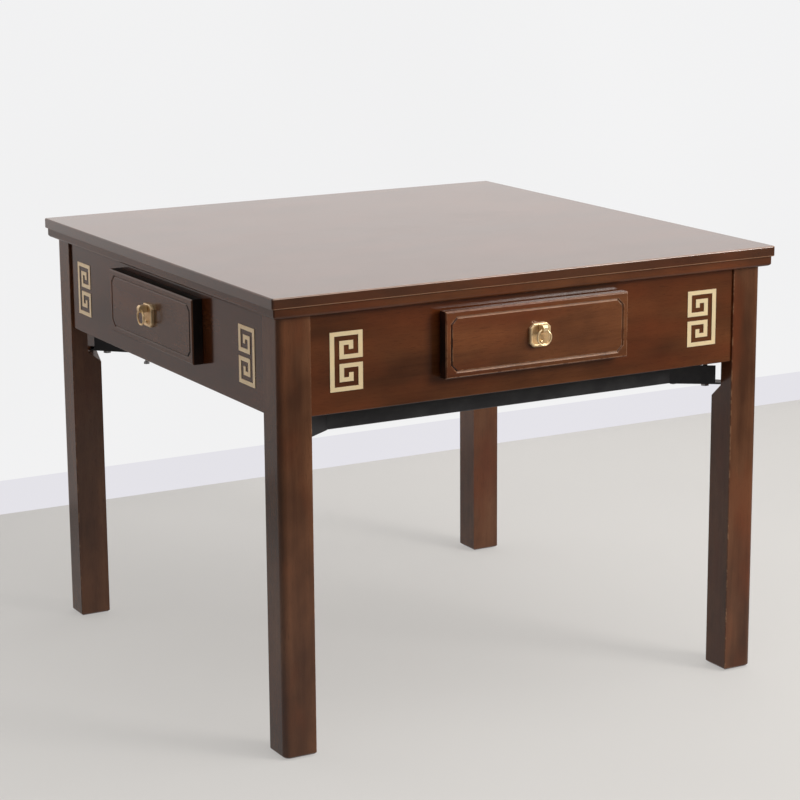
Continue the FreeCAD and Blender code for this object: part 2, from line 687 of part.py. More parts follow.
def frame_screw_places():
    """Screws up through the rails: near the front rail's end, and near the side rail's end."""
    front_y = FRONT_RAIL_OUTER - RAIL_WIDTH / 2
    front_place = Vector(FRONT_RAIL_END - FRAME_SCREW_FROM_END, front_y, RAIL_BOTTOM)
    side_x = SIDE_RAIL_OUTER - RAIL_WIDTH / 2
    side_place = Vector(side_x, FRONT_RAIL_INNER - SIDE_SCREW_FROM_END, RAIL_BOTTOM)
    return front_place, side_place


def off_diagonal(sum_of_xy, offset):
    """Plan point with a given x + y, moved off the diagonal towards X."""
    shift = offset * ROOT_2
    return ((sum_of_xy + shift) / 2, (sum_of_xy - shift) / 2)


def on_rail_end(offset):
    """Plan point on the long rail's end face, as far off the diagonal."""
    return (FRONT_RAIL_END, FRONT_RAIL_END - offset * ROOT_2)


def arm_bolt_place():
    bolt_sum = LEG_FLAT_SUM - ARM_BOLT_FROM_LEG * ROOT_2
    return Vector(*off_diagonal(bolt_sum, -ARM_BOLT_ASIDE), RAIL_BOTTOM)


def arm_bolt_hole():
    """Hole for the arm's bolt through flange and bottom board into the corner block."""
    length = BOTTOM_BOARD_TOP - RAIL_BOTTOM + ARM_BOLT_IN_BLOCK
    return rod(arm_bolt_place(), UP, ARM_BOLT_RADIUS + BOLT_HOLE_GAP, length)


def bottom_board():
    """Board inside the aprons, with its corners cut to clear the legs."""
    half = APRON_INNER - BOTTOM_BOARD_GAP
    notch = LEG_FLAT_SUM - BOTTOM_BOARD_GAP - half
    quarter = [(half, notch), (notch, half)]
    outline = quarter + [(-x, y) for x, y in quarter[::-1]]
    outline += [(-x, -y) for x, y in quarter] + [(x, -y) for x, y in quarter[::-1]]
    board = prism(outline, BOTTOM_BOARD_UNDER, BOTTOM_BOARD_TOP)
    for signs in CORNERS.values():
        board = board.cut(at_corner(arm_bolt_hole(), signs))
    return board


def tube_along_x(length_half, y_outer, y_inner):
    """Rectangular steel tube lying along X, open at both ends, with eased outer corners."""
    x_limits = (-length_half, length_half)
    tube = block(x_limits, (y_inner, y_outer), (RAIL_BOTTOM, RAIL_TOP))
    long_edges = [edge for edge in tube.Edges if near(edge.Length, 2 * length_half)]
    tube = tube.makeChamfer(RAIL_EDGE_BEVEL, long_edges)
    hollow_levels = (RAIL_BOTTOM + RAIL_WALL, RAIL_TOP - RAIL_WALL)
    return tube.cut(block(x_limits, (y_inner + RAIL_WALL, y_outer - RAIL_WALL), hollow_levels))


def long_rail():
    """Back rail. The front one is the same, turned round."""
    return tube_along_x(FRONT_RAIL_END, FRONT_RAIL_OUTER, FRONT_RAIL_INNER)


def short_rail():
    """Right rail, between the long rails."""
    return turned(tube_along_x(FRONT_RAIL_INNER, SIDE_RAIL_OUTER, SIDE_RAIL_INNER), 3)


def corner_arm():
    """Angle from the end of a long rail to the leg: a flange, and a web along its outer edge."""
    flange_top = RAIL_BOTTOM + ARM_PLATE
    start = Vector(FRONT_RAIL_END - ARM_FLARE, FRONT_RAIL_OUTER)
    end = Vector(*off_diagonal(LEG_FLAT_SUM, -ARM_OUTER_SIDE))
    flange_outline = [
        (start.x, start.y),
        (end.x, end.y),
        off_diagonal(LEG_FLAT_SUM, ARM_INNER_SIDE),
        on_rail_end(ARM_INNER_SIDE),
        (FRONT_RAIL_END, FRONT_RAIL_OUTER),
    ]
    along = (end - start).normalize()
    inward = Vector(along.y, -along.x)
    web_end = end - along * ARM_WEB_SHORT
    web_inside_end = web_end + inward * ARM_PLATE
    web_outline = [
        (start.x, start.y),
        (web_end.x, web_end.y),
        (web_inside_end.x, web_inside_end.y),
        (start.x + ARM_PLATE / along.y, FRONT_RAIL_OUTER),
    ]
    flange = prism(flange_outline, RAIL_BOTTOM, flange_top)
    web = prism(web_outline, flange_top, flange_top + ARM_WEB_HEIGHT)
    return flange.fuse(web).removeSplitter().cut(arm_bolt_hole())


def frame_screw(place, drop):
    """Screw head under a rail. One that has worked loose shows its shank up to the rail."""
    seat = place - UP * drop
    if drop:
        return bolt(seat, UP, FRAME_SCREW_RADIUS, drop, FRAME_SCREW_FLATS, FRAME_SCREW_HEAD)
    return hexagon(seat - UP * FRAME_SCREW_HEAD, UP, FRAME_SCREW_FLATS, FRAME_SCREW_HEAD)


def arm_bolt():
    """Bolt up through the arm and the bottom board into the corner block."""
    length = BOTTOM_BOARD_TOP - RAIL_BOTTOM + ARM_BOLT_IN_BLOCK
    return bolt(arm_bolt_place(), UP, ARM_BOLT_RADIUS, length, ARM_BOLT_FLATS, ARM_BOLT_HEAD)


def frame_fasteners():
    """Heads of the screws up through the rails, and the arms' bolts."""
    pieces = []
    front_place, side_place = frame_screw_places()
    for name, signs in CORNERS.items():
        side_drop = LOOSE_SCREW_DROP if name == "back_left" else 0
        corner_pieces = [frame_screw(front_place, 0), frame_screw(side_place, side_drop), arm_bolt()]
        pieces += [at_corner(piece, signs) for piece in corner_pieces]
    return Part.makeCompound(pieces)


# ---- The whole table -------------------------------------------------------------------------------------

def corner_nodes():
    nodes = {}
    for name, signs in CORNERS.items():
        nodes["leg_" + name] = at_corner(leg(), signs)
        nodes["corner_arm_" + name] = at_corner(corner_arm(), signs)
    return nodes


def side_nodes():
    """Rim, apron, meanders and drawer of each side."""
    nodes = {}
    fixed = {"rim": rim_board(), "apron": apron(), "meanders": meander_pair()}
    drawer = {
        "drawer_face": drawer_face(),
        "drawer_box": drawer_box(),
        "drawer_bottom": drawer_bottom(),
        "pull_plate": pull_plate(),
        "pull_post": pull_post(),
        "pull_ring": pull_ring(),
    }
    for side, quarters in SIDES.items():
        for piece, shape in fixed.items():
            nodes[side + "_" + piece] = turned(shape, quarters)
        for piece, shape in drawer.items():
            placed = shape.copy()
            if side == "front":
                placed.translate(FRONT * FRONT_DRAWER_OPEN)
            nodes[side + "_" + piece] = turned(placed, quarters)
    return nodes


def shared_nodes():
    """Single pieces and groups of like pieces."""
    every_corner = CORNERS.values()
    runners = [turned(runner, quarters) for quarters in SIDES.values() for runner in drawer_runner_pair()]
    return {
        "cover_board": cover_board(),
        "cover_cleats": cover_cleats(),
        "playing_board": playing_board(),
        "playing_felt": playing_felt(),
        "board_bearers": board_bearers(),
        "leg_glides": Part.makeCompound([at_corner(leg_glide(), signs) for signs in every_corner]),
        "corner_blocks": Part.makeCompound([at_corner(corner_block(), signs) for signs in every_corner]),
        "leg_bolts": Part.makeCompound([at_corner(leg_bolt(), signs) for signs in every_corner]),
        "drawer_runners": Part.makeCompound(runners),
        "bottom_board": bottom_board(),
        "back_rail": long_rail(),
        "front_rail": turned(long_rail(), 2),
        "right_rail": short_rail(),
        "left_rail": turned(short_rail(), 2),
        "frame_screws": frame_fasteners(),
    }


def main():
    os.makedirs("parts", exist_ok=True)
    nodes = {**shared_nodes(), **corner_nodes(), **side_nodes()}
    for name, shape in nodes.items():
        shape.exportStep("parts/" + name + ".step")
        print(name, len(shape.Solids), "solid(s)", round(shape.Volume / 1000, 1), "cm3")
    print(len(nodes), "nodes")


main()
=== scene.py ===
# %% [markdown]
# A square walnut games table with four drawers, dressed in Blender.
#
# The measured solids come in first as a fixed frame: every piece is already at its real size and
# place, in metres, and knows which body it moves with. Blender then adds what solids lack: eased
# edges, grain, lacquer, brass and light.

import json
import math

import bpy
from mathutils import Matrix, Vector


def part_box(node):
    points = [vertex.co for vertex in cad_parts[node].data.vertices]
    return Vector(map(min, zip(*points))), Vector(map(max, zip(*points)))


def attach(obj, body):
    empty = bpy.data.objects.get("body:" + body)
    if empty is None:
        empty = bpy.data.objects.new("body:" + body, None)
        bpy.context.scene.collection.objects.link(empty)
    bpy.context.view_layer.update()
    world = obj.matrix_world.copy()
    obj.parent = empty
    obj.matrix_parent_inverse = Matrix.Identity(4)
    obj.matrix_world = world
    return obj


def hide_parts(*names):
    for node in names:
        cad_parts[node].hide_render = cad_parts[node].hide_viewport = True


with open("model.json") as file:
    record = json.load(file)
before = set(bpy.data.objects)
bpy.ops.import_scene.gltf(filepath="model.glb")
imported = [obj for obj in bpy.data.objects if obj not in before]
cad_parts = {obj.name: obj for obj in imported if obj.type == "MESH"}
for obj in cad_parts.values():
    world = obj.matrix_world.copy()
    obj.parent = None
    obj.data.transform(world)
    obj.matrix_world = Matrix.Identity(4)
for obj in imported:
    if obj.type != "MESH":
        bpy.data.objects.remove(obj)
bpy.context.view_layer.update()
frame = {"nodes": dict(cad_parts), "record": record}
MM = 0.001
SIDES = {"front": 0, "right": 1, "back": 2, "left": 3}                    # quarter turns
CORNERS = ("front_right", "back_right", "back_left", "front_left")
print("nodes", len(frame["nodes"]))

# %% [markdown]
# The camera is a long lens a good way back, a little above the table and off its near corner, so
# that the front and one side both show. It is turned about the upright first, then tipped down,
# then rolled a hair. One matrix from three turns says that more plainly than Euler angles.

# %% Camera
CAMERA_PLACE = Vector((-2.1022, -3.8075, 1.4499))
CAMERA_AZIMUTH = math.radians(-29.0)
CAMERA_DROP = math.radians(12.94)
CAMERA_ROLL = math.radians(-0.40)
CAMERA_LENS = 110.63

lens = bpy.data.cameras.new("camera")
lens.lens = CAMERA_LENS
lens.sensor_width = 36
camera = bpy.data.objects.new("camera", lens)
bpy.context.collection.objects.link(camera)
turn = Matrix.Rotation(CAMERA_AZIMUTH, 4, "Z")
tip = Matrix.Rotation(math.pi / 2 - CAMERA_DROP, 4, "X")
roll = Matrix.Rotation(CAMERA_ROLL, 4, "Z")
camera.matrix_world = Matrix.Translation(CAMERA_PLACE) @ turn @ tip @ roll
bpy.context.scene.camera = camera
bpy.context.scene.view_settings.view_transform = "Standard"
print("camera", [round(value, 3) for value in camera.matrix_world.translation])

# %% [markdown]
# Materials are built from nodes, and most of the work is adding a node and wiring its inputs. Small
# helpers keep that readable. The first adds any node and takes either plain values or the sockets
# of other nodes, and the rest are short names for the nodes that every finish here is made of.

# %% Node helpers
def add(tree, kind, inputs=(), **settings):
    """A shader node with its settings made and its inputs set or wired."""
    node = tree.nodes.new("ShaderNode" + kind)
    for key, value in settings.items():
        setattr(node, key, value)
    for key, value in dict(inputs).items():
        if isinstance(value, bpy.types.NodeSocket):
            tree.links.new(value, node.inputs[key])
        else:
            node.inputs[key].default_value = value
    return node


def blend(tree, factor, first, second):
    """Blend of two colours, each a socket or a plain colour."""
    return add(tree, "Mix", {0: factor, 6: first, 7: second}, data_type="RGBA").outputs[2]


def ramp(tree, value, low, high):
    """Value stretched so that low gives 0 and high gives 1, and clamped."""
    node = add(tree, "MapRange", {"Value": value, "From Min": low, "From Max": high})
    return node.outputs["Result"]


def noise(tree, vector, scale, detail=2.0, roughness=0.5):
    """Soft noise between 0 and 1, with its scale in repeats per metre."""
    inputs = {"Vector": vector, "Scale": scale, "Detail": detail, "Roughness": roughness}
    return add(tree, "TexNoise", inputs).outputs["Fac"]


def stretched(tree, vector, scale):
    """Vector with each axis scaled by itself."""
    return add(tree, "Mapping", {"Vector": vector, "Scale": scale}).outputs["Vector"]


def arithmetic(tree, operation, first, second):
    """One operation on two numbers, each a socket or a plain value."""
    return add(tree, "Math", {0: first, 1: second}, operation=operation).outputs[0]


def multiply_add(tree, value, factor, extra):
    """value times factor, plus extra."""
    return add(tree, "Math", {0: value, 1: factor, 2: extra}, operation="MULTIPLY_ADD").outputs[0]


print("node helpers ready")

# %% [markdown]
# An effect that several finishes share is a node group: a small tree of its own with named inputs
# and outputs, built once and then placed in each material with that material's values. One helper
# makes an empty group with its sockets, and one places a group.

# %% Group helpers
def new_group(name, inputs, outputs):
    """Empty shader group with named sockets: (tree, its input node, its output node)."""
    tree = bpy.data.node_groups.new(name, "ShaderNodeTree")
    for label, kind, value in inputs:
        socket = tree.interface.new_socket(label, in_out="INPUT", socket_type="NodeSocket" + kind)
        if value is not None:
            socket.default_value = value
    for label, kind in outputs:
        tree.interface.new_socket(label, in_out="OUTPUT", socket_type="NodeSocket" + kind)
    return tree, tree.nodes.new("NodeGroupInput"), tree.nodes.new("NodeGroupOutput")


def use_group(tree, group, inputs):
    """Outputs of a group that is placed in the tree, with its inputs set or wired."""
    return add(tree, "Group", inputs, node_tree=group).outputs


print("group helpers ready")

# %% [markdown]
# Each material keeps its own Principled shader and reads object coordinates, in metres, so that a
# pattern has its real size on every piece. Its relief is a bump: a height with a depth in metres.

# %% Material helpers
def new_material(name):
    """Material with its Principled shader and its object coordinates at hand."""
    material = bpy.data.materials.new(name)
    material.use_nodes = True
    tree = material.node_tree
    shader = tree.nodes["Principled BSDF"]
    return material, tree, shader, add(tree, "TexCoord").outputs["Object"]


def wire(tree, shader, colour, roughness, height, depth, strength):
    """Colour, roughness and a bump, whose depth is in metres, into a Principled shader."""
    bump = add(tree, "Bump", {"Height": height, "Distance": depth, "Strength": strength})
    tree.links.new(colour, shader.inputs["Base Color"])
    tree.links.new(roughness, shader.inputs["Roughness"])
    tree.links.new(bump.outputs["Normal"], shader.inputs["Normal"])


print("material helpers ready")

# %% [markdown]
# Wood figure is one effect that every timber here shares, so it is one node group. Grain is noise
# stretched along the board, at three sizes: broad bands where the board was cut across its rings,
# finer lines within them, and pores, the short dark dashes. A slow warp bends them all together,
# because a tree isn't straight. Clouds are stain that dried unevenly, and patches are where it went
# in deeper and redder. Each stretch below is in repeats per metre, first along the board and then
# across it.

# %% Wood figure group
WARP = (1.5, 4, 4)
WARP_SHIFT = (0.0, 0.05, 0.05)          # metres that the warp moves the figure at most
BANDS = (1.3, 17, 17)
LINES = (7, 190, 190)
CLOUDS = (4.5, 9, 9)
PATCHES = (5.0, 13, 13)
DASHES = (60, 1500, 1500)
LINE_SHARE = 0.10                       # shares of each in the figure's light and dark
BAND_SHARE = 0.38
CLOUD_SHARE = 0.52


def build_wood_figure():
    inputs = [
        ("Vector", "Vector", None),
        ("Dark", "Color", (0.03, 0.01, 0.005, 1)),
        ("Light", "Color", (0.12, 0.05, 0.02, 1)),
        ("Blotch", "Color", (0.10, 0.02, 0.01, 1)),
        ("Blotch Amount", "Float", 0.5),
        ("Pore Amount", "Float", 0.4),
    ]
    tree, given, result = new_group("wood figure", inputs, [("Color", "Color"), ("Height", "Float")])
    vector = given.outputs["Vector"]
    warp = {"Vector": stretched(tree, vector, WARP), "Scale": 1.0, "Detail": 1.0}
    slow = add(tree, "TexNoise", warp).outputs["Color"]
    shift = add(tree, "VectorMath", {0: slow, 1: WARP_SHIFT}, operation="MULTIPLY").outputs[0]
    bent = add(tree, "VectorMath", {0: vector, 1: shift}, operation="ADD").outputs[0]
    bands = noise(tree, stretched(tree, bent, BANDS), 1.0, 4.0, 0.55)
    lines = noise(tree, stretched(tree, bent, LINES), 1.0, 3.0, 0.6)
    clouds = noise(tree, stretched(tree, bent, CLOUDS), 1.0, 3.0, 0.6)
    fine = multiply_add(tree, lines, LINE_SHARE, arithmetic(tree, "MULTIPLY", bands, BAND_SHARE))
    cloudy = multiply_add(tree, clouds, CLOUD_SHARE, fine)
    figure = blend(tree, ramp(tree, cloudy, 0.36, 0.64), given.outputs["Dark"], given.outputs["Light"])
    patches = ramp(tree, noise(tree, stretched(tree, bent, PATCHES), 1.0, 2.5, 0.55), 0.46, 0.68)
    amount = arithmetic(tree, "MULTIPLY", patches, given.outputs["Blotch Amount"])
    stained = blend(tree, amount, figure, given.outputs["Blotch"])
    dashes = ramp(tree, noise(tree, stretched(tree, bent, DASHES), 1.0, 1.0), 0.60, 0.68)
    pores = arithmetic(tree, "MULTIPLY", dashes, given.outputs["Pore Amount"])
    coloured = blend(tree, pores, stained, given.outputs["Dark"])
    tree.links.new(coloured, result.inputs["Color"])
    tree.links.new(arithmetic(tree, "SUBTRACT", lines, dashes), result.inputs["Height"])
    return tree


wood_figure = build_wood_figure()
print("group", wood_figure.name, len(wood_figure.nodes), "nodes")

# %% [markdown]
# Lacquer has faults of its own: broad soft smears where it was wiped, fine specks of dust caught in
# it, and the faint waviness of a sprayed film. Smears and specks change the roughness. Specks and
# waviness stand up a little.

# %% Lacquer group
SMEARS = 11.0                           # repeats per metre
SPECKS = 900.0
ORANGE_PEEL = 260.0
SPECK_DULLING = 0.12                    # roughness that a speck adds


def build_lacquer():
    inputs = [("Vector", "Vector", None), ("Base", "Float", 0.25), ("Spread", "Float", 0.1)]
    outputs = [("Roughness", "Float"), ("Height", "Float")]
    tree, given, result = new_group("lacquer", inputs, outputs)
    vector = given.outputs["Vector"]
    smears = noise(tree, vector, SMEARS, 4.0, 0.6)
    specks = ramp(tree, noise(tree, vector, SPECKS, 1.0), 0.70, 0.78)
    orange_peel = noise(tree, vector, ORANGE_PEEL, 1.0)
    wiped = multiply_add(tree, smears, given.outputs["Spread"], given.outputs["Base"])
    tree.links.new(multiply_add(tree, specks, SPECK_DULLING, wiped), result.inputs["Roughness"])
    tree.links.new(arithmetic(tree, "ADD", specks, orange_peel), result.inputs["Height"])
    return tree


lacquer = build_lacquer()
print("group", lacquer.name, len(lacquer.nodes), "nodes")

# %% [markdown]
# The table is a pale timber stained walnut brown under lacquer. Each board needs the same finish
# with its grain along its own length, so one function makes the material and takes a turn. The
# Mapping node turns the pattern and never the board. On the edges the same figure, blended towards
# a tan colour in broken stretches, goes on the bevelled arrises: partly stain rubbed through to bare
# wood, partly painted highlight.

# %% Walnut stains and lacquer
ALONG = {"x": (0, 0, 0), "y": (0, 0, math.pi / 2), "z": (0, math.pi / 2, 0)}
WALNUT_DARK = (0.036, 0.0105, 0.0030, 1)
WALNUT_LIGHT = (0.125, 0.041, 0.013, 1)
WALNUT_RED = (0.130, 0.030, 0.008, 1)
FACE_DARK = (0.048, 0.0148, 0.0044, 1)
FACE_LIGHT = (0.178, 0.060, 0.0195, 1)
COVER_DARK = (0.043, 0.0138, 0.0047, 1)
COVER_LIGHT = (0.090, 0.030, 0.0106, 1)
# near-black: the drawers' ends, and painted shade on level edges and groove walls
END_AND_SHADE_DARK = (0.004, 0.0018, 0.0012, 1)
END_AND_SHADE_LIGHT = (0.010, 0.0040, 0.0022, 1)
LEG_DARK = (0.056, 0.0205, 0.0085, 1)
LEG_LIGHT = (0.196, 0.080, 0.036, 1)
# tan on the arrises: wear, and painted highlight where light would catch an edge
WORN_AND_HIGHLIGHT_TAN = (0.40, 0.21, 0.11, 1)
# pale whitish line: painted highlight along the cover's front and back top arrises
PAINTED_HIGHLIGHT_PALE = (0.62, 0.42, 0.32, 1)
WEAR_PATCHES = 55.0                     # repeats per metre of the rubbed stretches
WEAR_FADE = 0.12                        # how softly a rubbed stretch begins
PORES = 0.45
GRAIN_DEPTH = 0.02 * MM                 # what is left of the grain's relief under the film
LACQUER_IOR = 1.48
COAT_ROUGH = 0.08


def walnut(name, grain, coat, rough, worn_and_highlighted=0.0, dark=WALNUT_DARK, light=WALNUT_LIGHT, bare=0.50,
           rub_and_highlight=WORN_AND_HIGHLIGHT_TAN, red=0.6):
    """Lacquered walnut: worn_and_highlighted is how far it goes to rub_and_highlight, a tan for wear and
    painted highlight, less often as bare rises, red the blotches.
    """
    material, tree, shader, place = new_material(name)
    along = add(tree, "Mapping", {"Vector": place, "Rotation": ALONG[grain]}).outputs["Vector"]
    colours = {"Dark": dark, "Light": light, "Blotch": WALNUT_RED}
    amounts = {"Blotch Amount": red, "Pore Amount": PORES}
    wood = use_group(tree, wood_figure, {"Vector": along, **colours, **amounts})
    colour = wood["Color"]
    if worn_and_highlighted:
        # broken stretches of the tan: wear and painted highlight
        rubbed_and_highlighted = ramp(tree, noise(tree, place, WEAR_PATCHES, 4.0, 0.7), bare, bare + WEAR_FADE)
        colour = blend(tree, arithmetic(tree, "MULTIPLY", rubbed_and_highlighted, worn_and_highlighted), colour, rub_and_highlight)
    film = use_group(tree, lacquer, {"Vector": place, "Base": rough, "Spread": 0.08})
    height = arithmetic(tree, "ADD", wood["Height"], film["Height"])
    wire(tree, shader, colour, film["Roughness"], height, GRAIN_DEPTH, 0.35)
    shader.inputs["IOR"].default_value = LACQUER_IOR
    shader.inputs["Coat Weight"].default_value = coat
    shader.inputs["Coat Roughness"].default_value = COAT_ROUGH
    return material


print("walnut stains ready")

# %% [markdown]
# Aprons, rims and drawer faces run along X at the front and back and along Y at the sides, so their
# finishes are made in pairs. The front and back get more of the tan arris colour: painted highlight
# from the light in front, as well as wear. The drawers' ends are nearly black, and that near-black
# also serves as painted shade.

# %% Walnut finishes
# front and back arrises get more tan than the sides: painted highlight from the light in front, and wear
WEAR_AND_HIGHLIGHT_SHARE = {"x": 1.0, "y": 0.25}


def both_ways(name, coat, rough, worn_and_highlighted=0.0, **settings):
    """One finish with its grain along X and along Y, each with its own share of the tan for wear and
    painted highlight.
    """
    return {grain: walnut(name + " along " + grain, grain, coat, rough, worn_and_highlighted * share, **settings)
            for grain, share in WEAR_AND_HIGHLIGHT_SHARE.items()}


walnut_along = both_ways("walnut", 0.1, 0.10)
walnut_worn_and_highlighted = both_ways("worn arris", 0.1, 0.20, 0.6)
walnut_rubbed_and_highlighted = both_ways("rubbed arris", 0.1, 0.20, 0.8, bare=0.40)
face_along = both_ways("walnut face", 0.1, 0.18, dark=FACE_DARK, light=FACE_LIGHT)
walnut_end_and_painted_shade = walnut("walnut end grain", "z", 0.0, 0.45, dark=END_AND_SHADE_DARK, light=END_AND_SHADE_LIGHT)
walnut_groove_wear_and_highlight = both_ways("rubbed groove", 0.1, 0.25, 0.45, bare=0.25)
walnut_leg = walnut("walnut leg", "z", 0.1, 0.12, dark=LEG_DARK, light=LEG_LIGHT)
walnut_leg_worn_and_highlighted = walnut("worn leg arris", "z", 0.1, 0.20, 0.6, dark=LEG_DARK, light=LEG_LIGHT)
walnut_cover = walnut("walnut cover", "x", 0.72, 0.14, dark=COVER_DARK, light=COVER_LIGHT, red=0.4)
# cover's front and back top arrises: pale painted highlight in broken stretches
walnut_cover_highlight = walnut("worn cover arris", "x", 0.6, 0.18, 0.5, bare=0.24, rub_and_highlight=PAINTED_HIGHLIGHT_PALE)
walnut_cover_side = walnut("cover arris at the sides", "x", 0.6, 0.18, 0.2)
walnut_cover_low = walnut("cover lower arris", "x", 0.1, 0.25, 0.65, bare=0.28)
print("walnut materials", sum("walnut" in material.name for material in bpy.data.materials))

# %% [markdown]
# Parts that nobody sees in use are plainer: bare pale wood for blocks, cleats and runners, a warmer
# drawer wood, and birch plywood, whose edge shows its thin glued layers. They share the figure
# group with lighter colours and no coat.

# %% Plain woods and plywood
PLIES = 110.0                           # glue lines, set by the wave node's own scale
BARE_GRAIN_DEPTH = 0.06 * MM


def bare_wood(name, dark, light, layers=False):
    """Unfinished wood with its grain along X, and the glued layers of plywood on its edges if asked."""
    material, tree, shader, place = new_material(name)
    colours = {"Dark": dark, "Light": light, "Blotch": light}
    amounts = {"Blotch Amount": 0.2, "Pore Amount": 0.25}
    wood = use_group(tree, wood_figure, {"Vector": place, **colours, **amounts})
    colour = wood["Color"]
    if layers:
        waves = {"Vector": place, "Scale": PLIES, "Distortion": 0.3}
        plies = add(tree, "TexWave", waves, bands_direction="Z")
        normal = add(tree, "NewGeometry").outputs["Normal"]
        upright = add(tree, "SeparateXYZ", {0: normal}).outputs["Z"]
        on_edge = ramp(tree, arithmetic(tree, "ABSOLUTE", upright, 0.0), 0.7, 0.3)
        shade = arithmetic(tree, "MULTIPLY", plies.outputs["Fac"], on_edge)
        colour = blend(tree, arithmetic(tree, "MULTIPLY", shade, 0.6), colour, dark)
    rough = ramp(tree, noise(tree, place, 40.0, 3.0), -1.2, 1.6)
    wire(tree, shader, colour, rough, wood["Height"], BARE_GRAIN_DEPTH, 0.6)
    return material


plain_wood = bare_wood("plain wood", (0.34, 0.20, 0.10, 1), (0.62, 0.43, 0.25, 1))
drawer_wood = bare_wood("drawer wood", (0.30, 0.16, 0.075, 1), (0.55, 0.34, 0.18, 1))
plywood = bare_wood("plywood", (0.36, 0.22, 0.12, 1), (0.64, 0.46, 0.28, 1), layers=True)
print("bare woods ready")

# %% [markdown]
# The playing surface is a green wool felt. Felt has no weave: short fibres lie every way, so its
# colour and its height are both fine noise, with larger soft mottling, and it is very rough.

# %% Felt
FELT_DARK = (0.010, 0.075, 0.038, 1)
FELT_LIGHT = (0.018, 0.12, 0.060, 1)
FIBRE_TIP = (0.06, 0.22, 0.12, 1)
FELT_MOTTLE = 14.0                      # repeats per metre
FELT_FIBRES = 1400.0
NAP_DEPTH = 0.4 * MM


def felt():
    material, tree, shader, place = new_material("green felt")
    mottled = noise(tree, place, FELT_MOTTLE, 4.0)
    fibres = noise(tree, place, FELT_FIBRES, 2.0, 0.7)
    colour = blend(tree, ramp(tree, mottled, 0.3, 0.7), FELT_DARK, FELT_LIGHT)
    colour = blend(tree, ramp(tree, fibres, 0.55, 0.8), colour, FIBRE_TIP)
    wire(tree, shader, colour, ramp(tree, fibres, -3.0, 1.0), fibres, NAP_DEPTH, 0.7)
    shader.inputs["Sheen Weight"].default_value = 0.35
    return material


green_felt = felt()
print("felt ready")

# %% [markdown]
# Metal finishes. Tarnish and scuffs work the same way on all of them: a mask of soft noise that
# darkens the colour and dulls the surface. It is one group, with the clean and the dull colour and
# the two roughness values as inputs.

# %% Tarnish group
METAL_SKIN = 1600.0                     # repeats per metre of the finest relief


def build_tarnish():
    inputs = [
        ("Vector", "Vector", None),
        ("Clean", "Color", (0.8, 0.6, 0.3, 1)),
        ("Dull", "Color", (0.4, 0.25, 0.1, 1)),
        ("Clean Rough", "Float", 0.25),
        ("Dull Rough", "Float", 0.5),
        ("Scale", "Float", 60.0),
    ]
    outputs = [("Color", "Color"), ("Roughness", "Float"), ("Height", "Float")]
    tree, given, result = new_group("tarnish", inputs, outputs)
    broad = noise(tree, given.outputs["Vector"], given.outputs["Scale"], 5.0, 0.65)
    fine = noise(tree, given.outputs["Vector"], METAL_SKIN, 1.0)
    mask = ramp(tree, broad, 0.42, 0.72)
    span = arithmetic(tree, "SUBTRACT", given.outputs["Dull Rough"], given.outputs["Clean Rough"])
    rough = multiply_add(tree, mask, span, given.outputs["Clean Rough"])
    tree.links.new(blend(tree, mask, given.outputs["Clean"], given.outputs["Dull"]), result.inputs["Color"])
    tree.links.new(rough, result.inputs["Roughness"])
    tree.links.new(arithmetic(tree, "ADD", fine, broad), result.inputs["Height"])
    return tree


tarnish = build_tarnish()
print("group", tarnish.name, len(tarnish.nodes), "nodes")

# %% [markdown]
# Brass is rolled strip on the meanders, lacquered over, with a dark edge. On the pulls it is a
# casting, darker and duller in the plate's sunk field, where the darker colour is painted shade, and
# polished on the stud, which the ring keeps bright. Steel is powder coated black on the frame and
# zinc plated on the fasteners.

# %% Metals
def metal(name, metallic, clean, dull, rough, scale, depth=0.01 * MM, coat=0.0):
    """Metal or coated metal: rough is for its clean and its dull places, scale in repeats per metre."""
    material, tree, shader, place = new_material(name)
    colours = {"Clean": clean + (1,), "Dull": dull + (1,)}
    values = {"Clean Rough": rough[0], "Dull Rough": rough[1], "Scale": scale}
    look = use_group(tree, tarnish, {"Vector": place, **colours, **values})
    wire(tree, shader, look["Color"], look["Roughness"], look["Height"], depth, 0.4)
    shader.inputs["Metallic"].default_value = metallic
    shader.inputs["Coat Weight"].default_value = coat
    return material


brass_strip = metal(
    "brass strip", 0.55, (1.0, 0.82, 0.51), (0.96, 0.73, 0.42), rough=(0.34, 0.44), scale=45.0, coat=0.7)
brass_edge = metal(
    "brass strip edge", 0.4, (0.20, 0.11, 0.045), (0.10, 0.05, 0.02), rough=(0.40, 0.52), scale=45.0)
cast_brass = metal(
    "cast brass", 0.68, (1.0, 0.77, 0.46), (0.84, 0.58, 0.31), (0.29, 0.39), scale=160.0, depth=0.02 * MM)
# darker colour for the pull plate's sunk field: painted shade
field_brass_painted_shade = metal(
    "plate brass", 0.8, (0.78, 0.54, 0.29), (0.56, 0.36, 0.16), (0.38, 0.48), scale=130.0, depth=0.02 * MM)
stud_brass = metal(
    "polished brass", 1.0, (1.0, 0.84, 0.56), (0.9, 0.68, 0.38), rough=(0.10, 0.18), scale=160.0)
black_steel = metal(
    "black steel", 0.0, (0.018, 0.018, 0.021), (0.030, 0.030, 0.033), (0.36, 0.52), scale=30.0,
    depth=0.03 * MM)
zinc_steel = metal(
    "zinc steel", 1.0, (0.62, 0.63, 0.65), (0.38, 0.38, 0.38), rough=(0.28, 0.5), scale=120.0)
black_plastic = metal(
    "black plastic", 0.0, (0.012, 0.012, 0.012), (0.022, 0.021, 0.020), rough=(0.42, 0.6), scale=80.0)
print("metals ready")

# %% [markdown]
# An operator acts on all that is selected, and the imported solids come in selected. So every step
# clears the selection first and picks its own piece. A new primitive carries its place, turn and
# size on the object, and they are moved into its mesh at once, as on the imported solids.

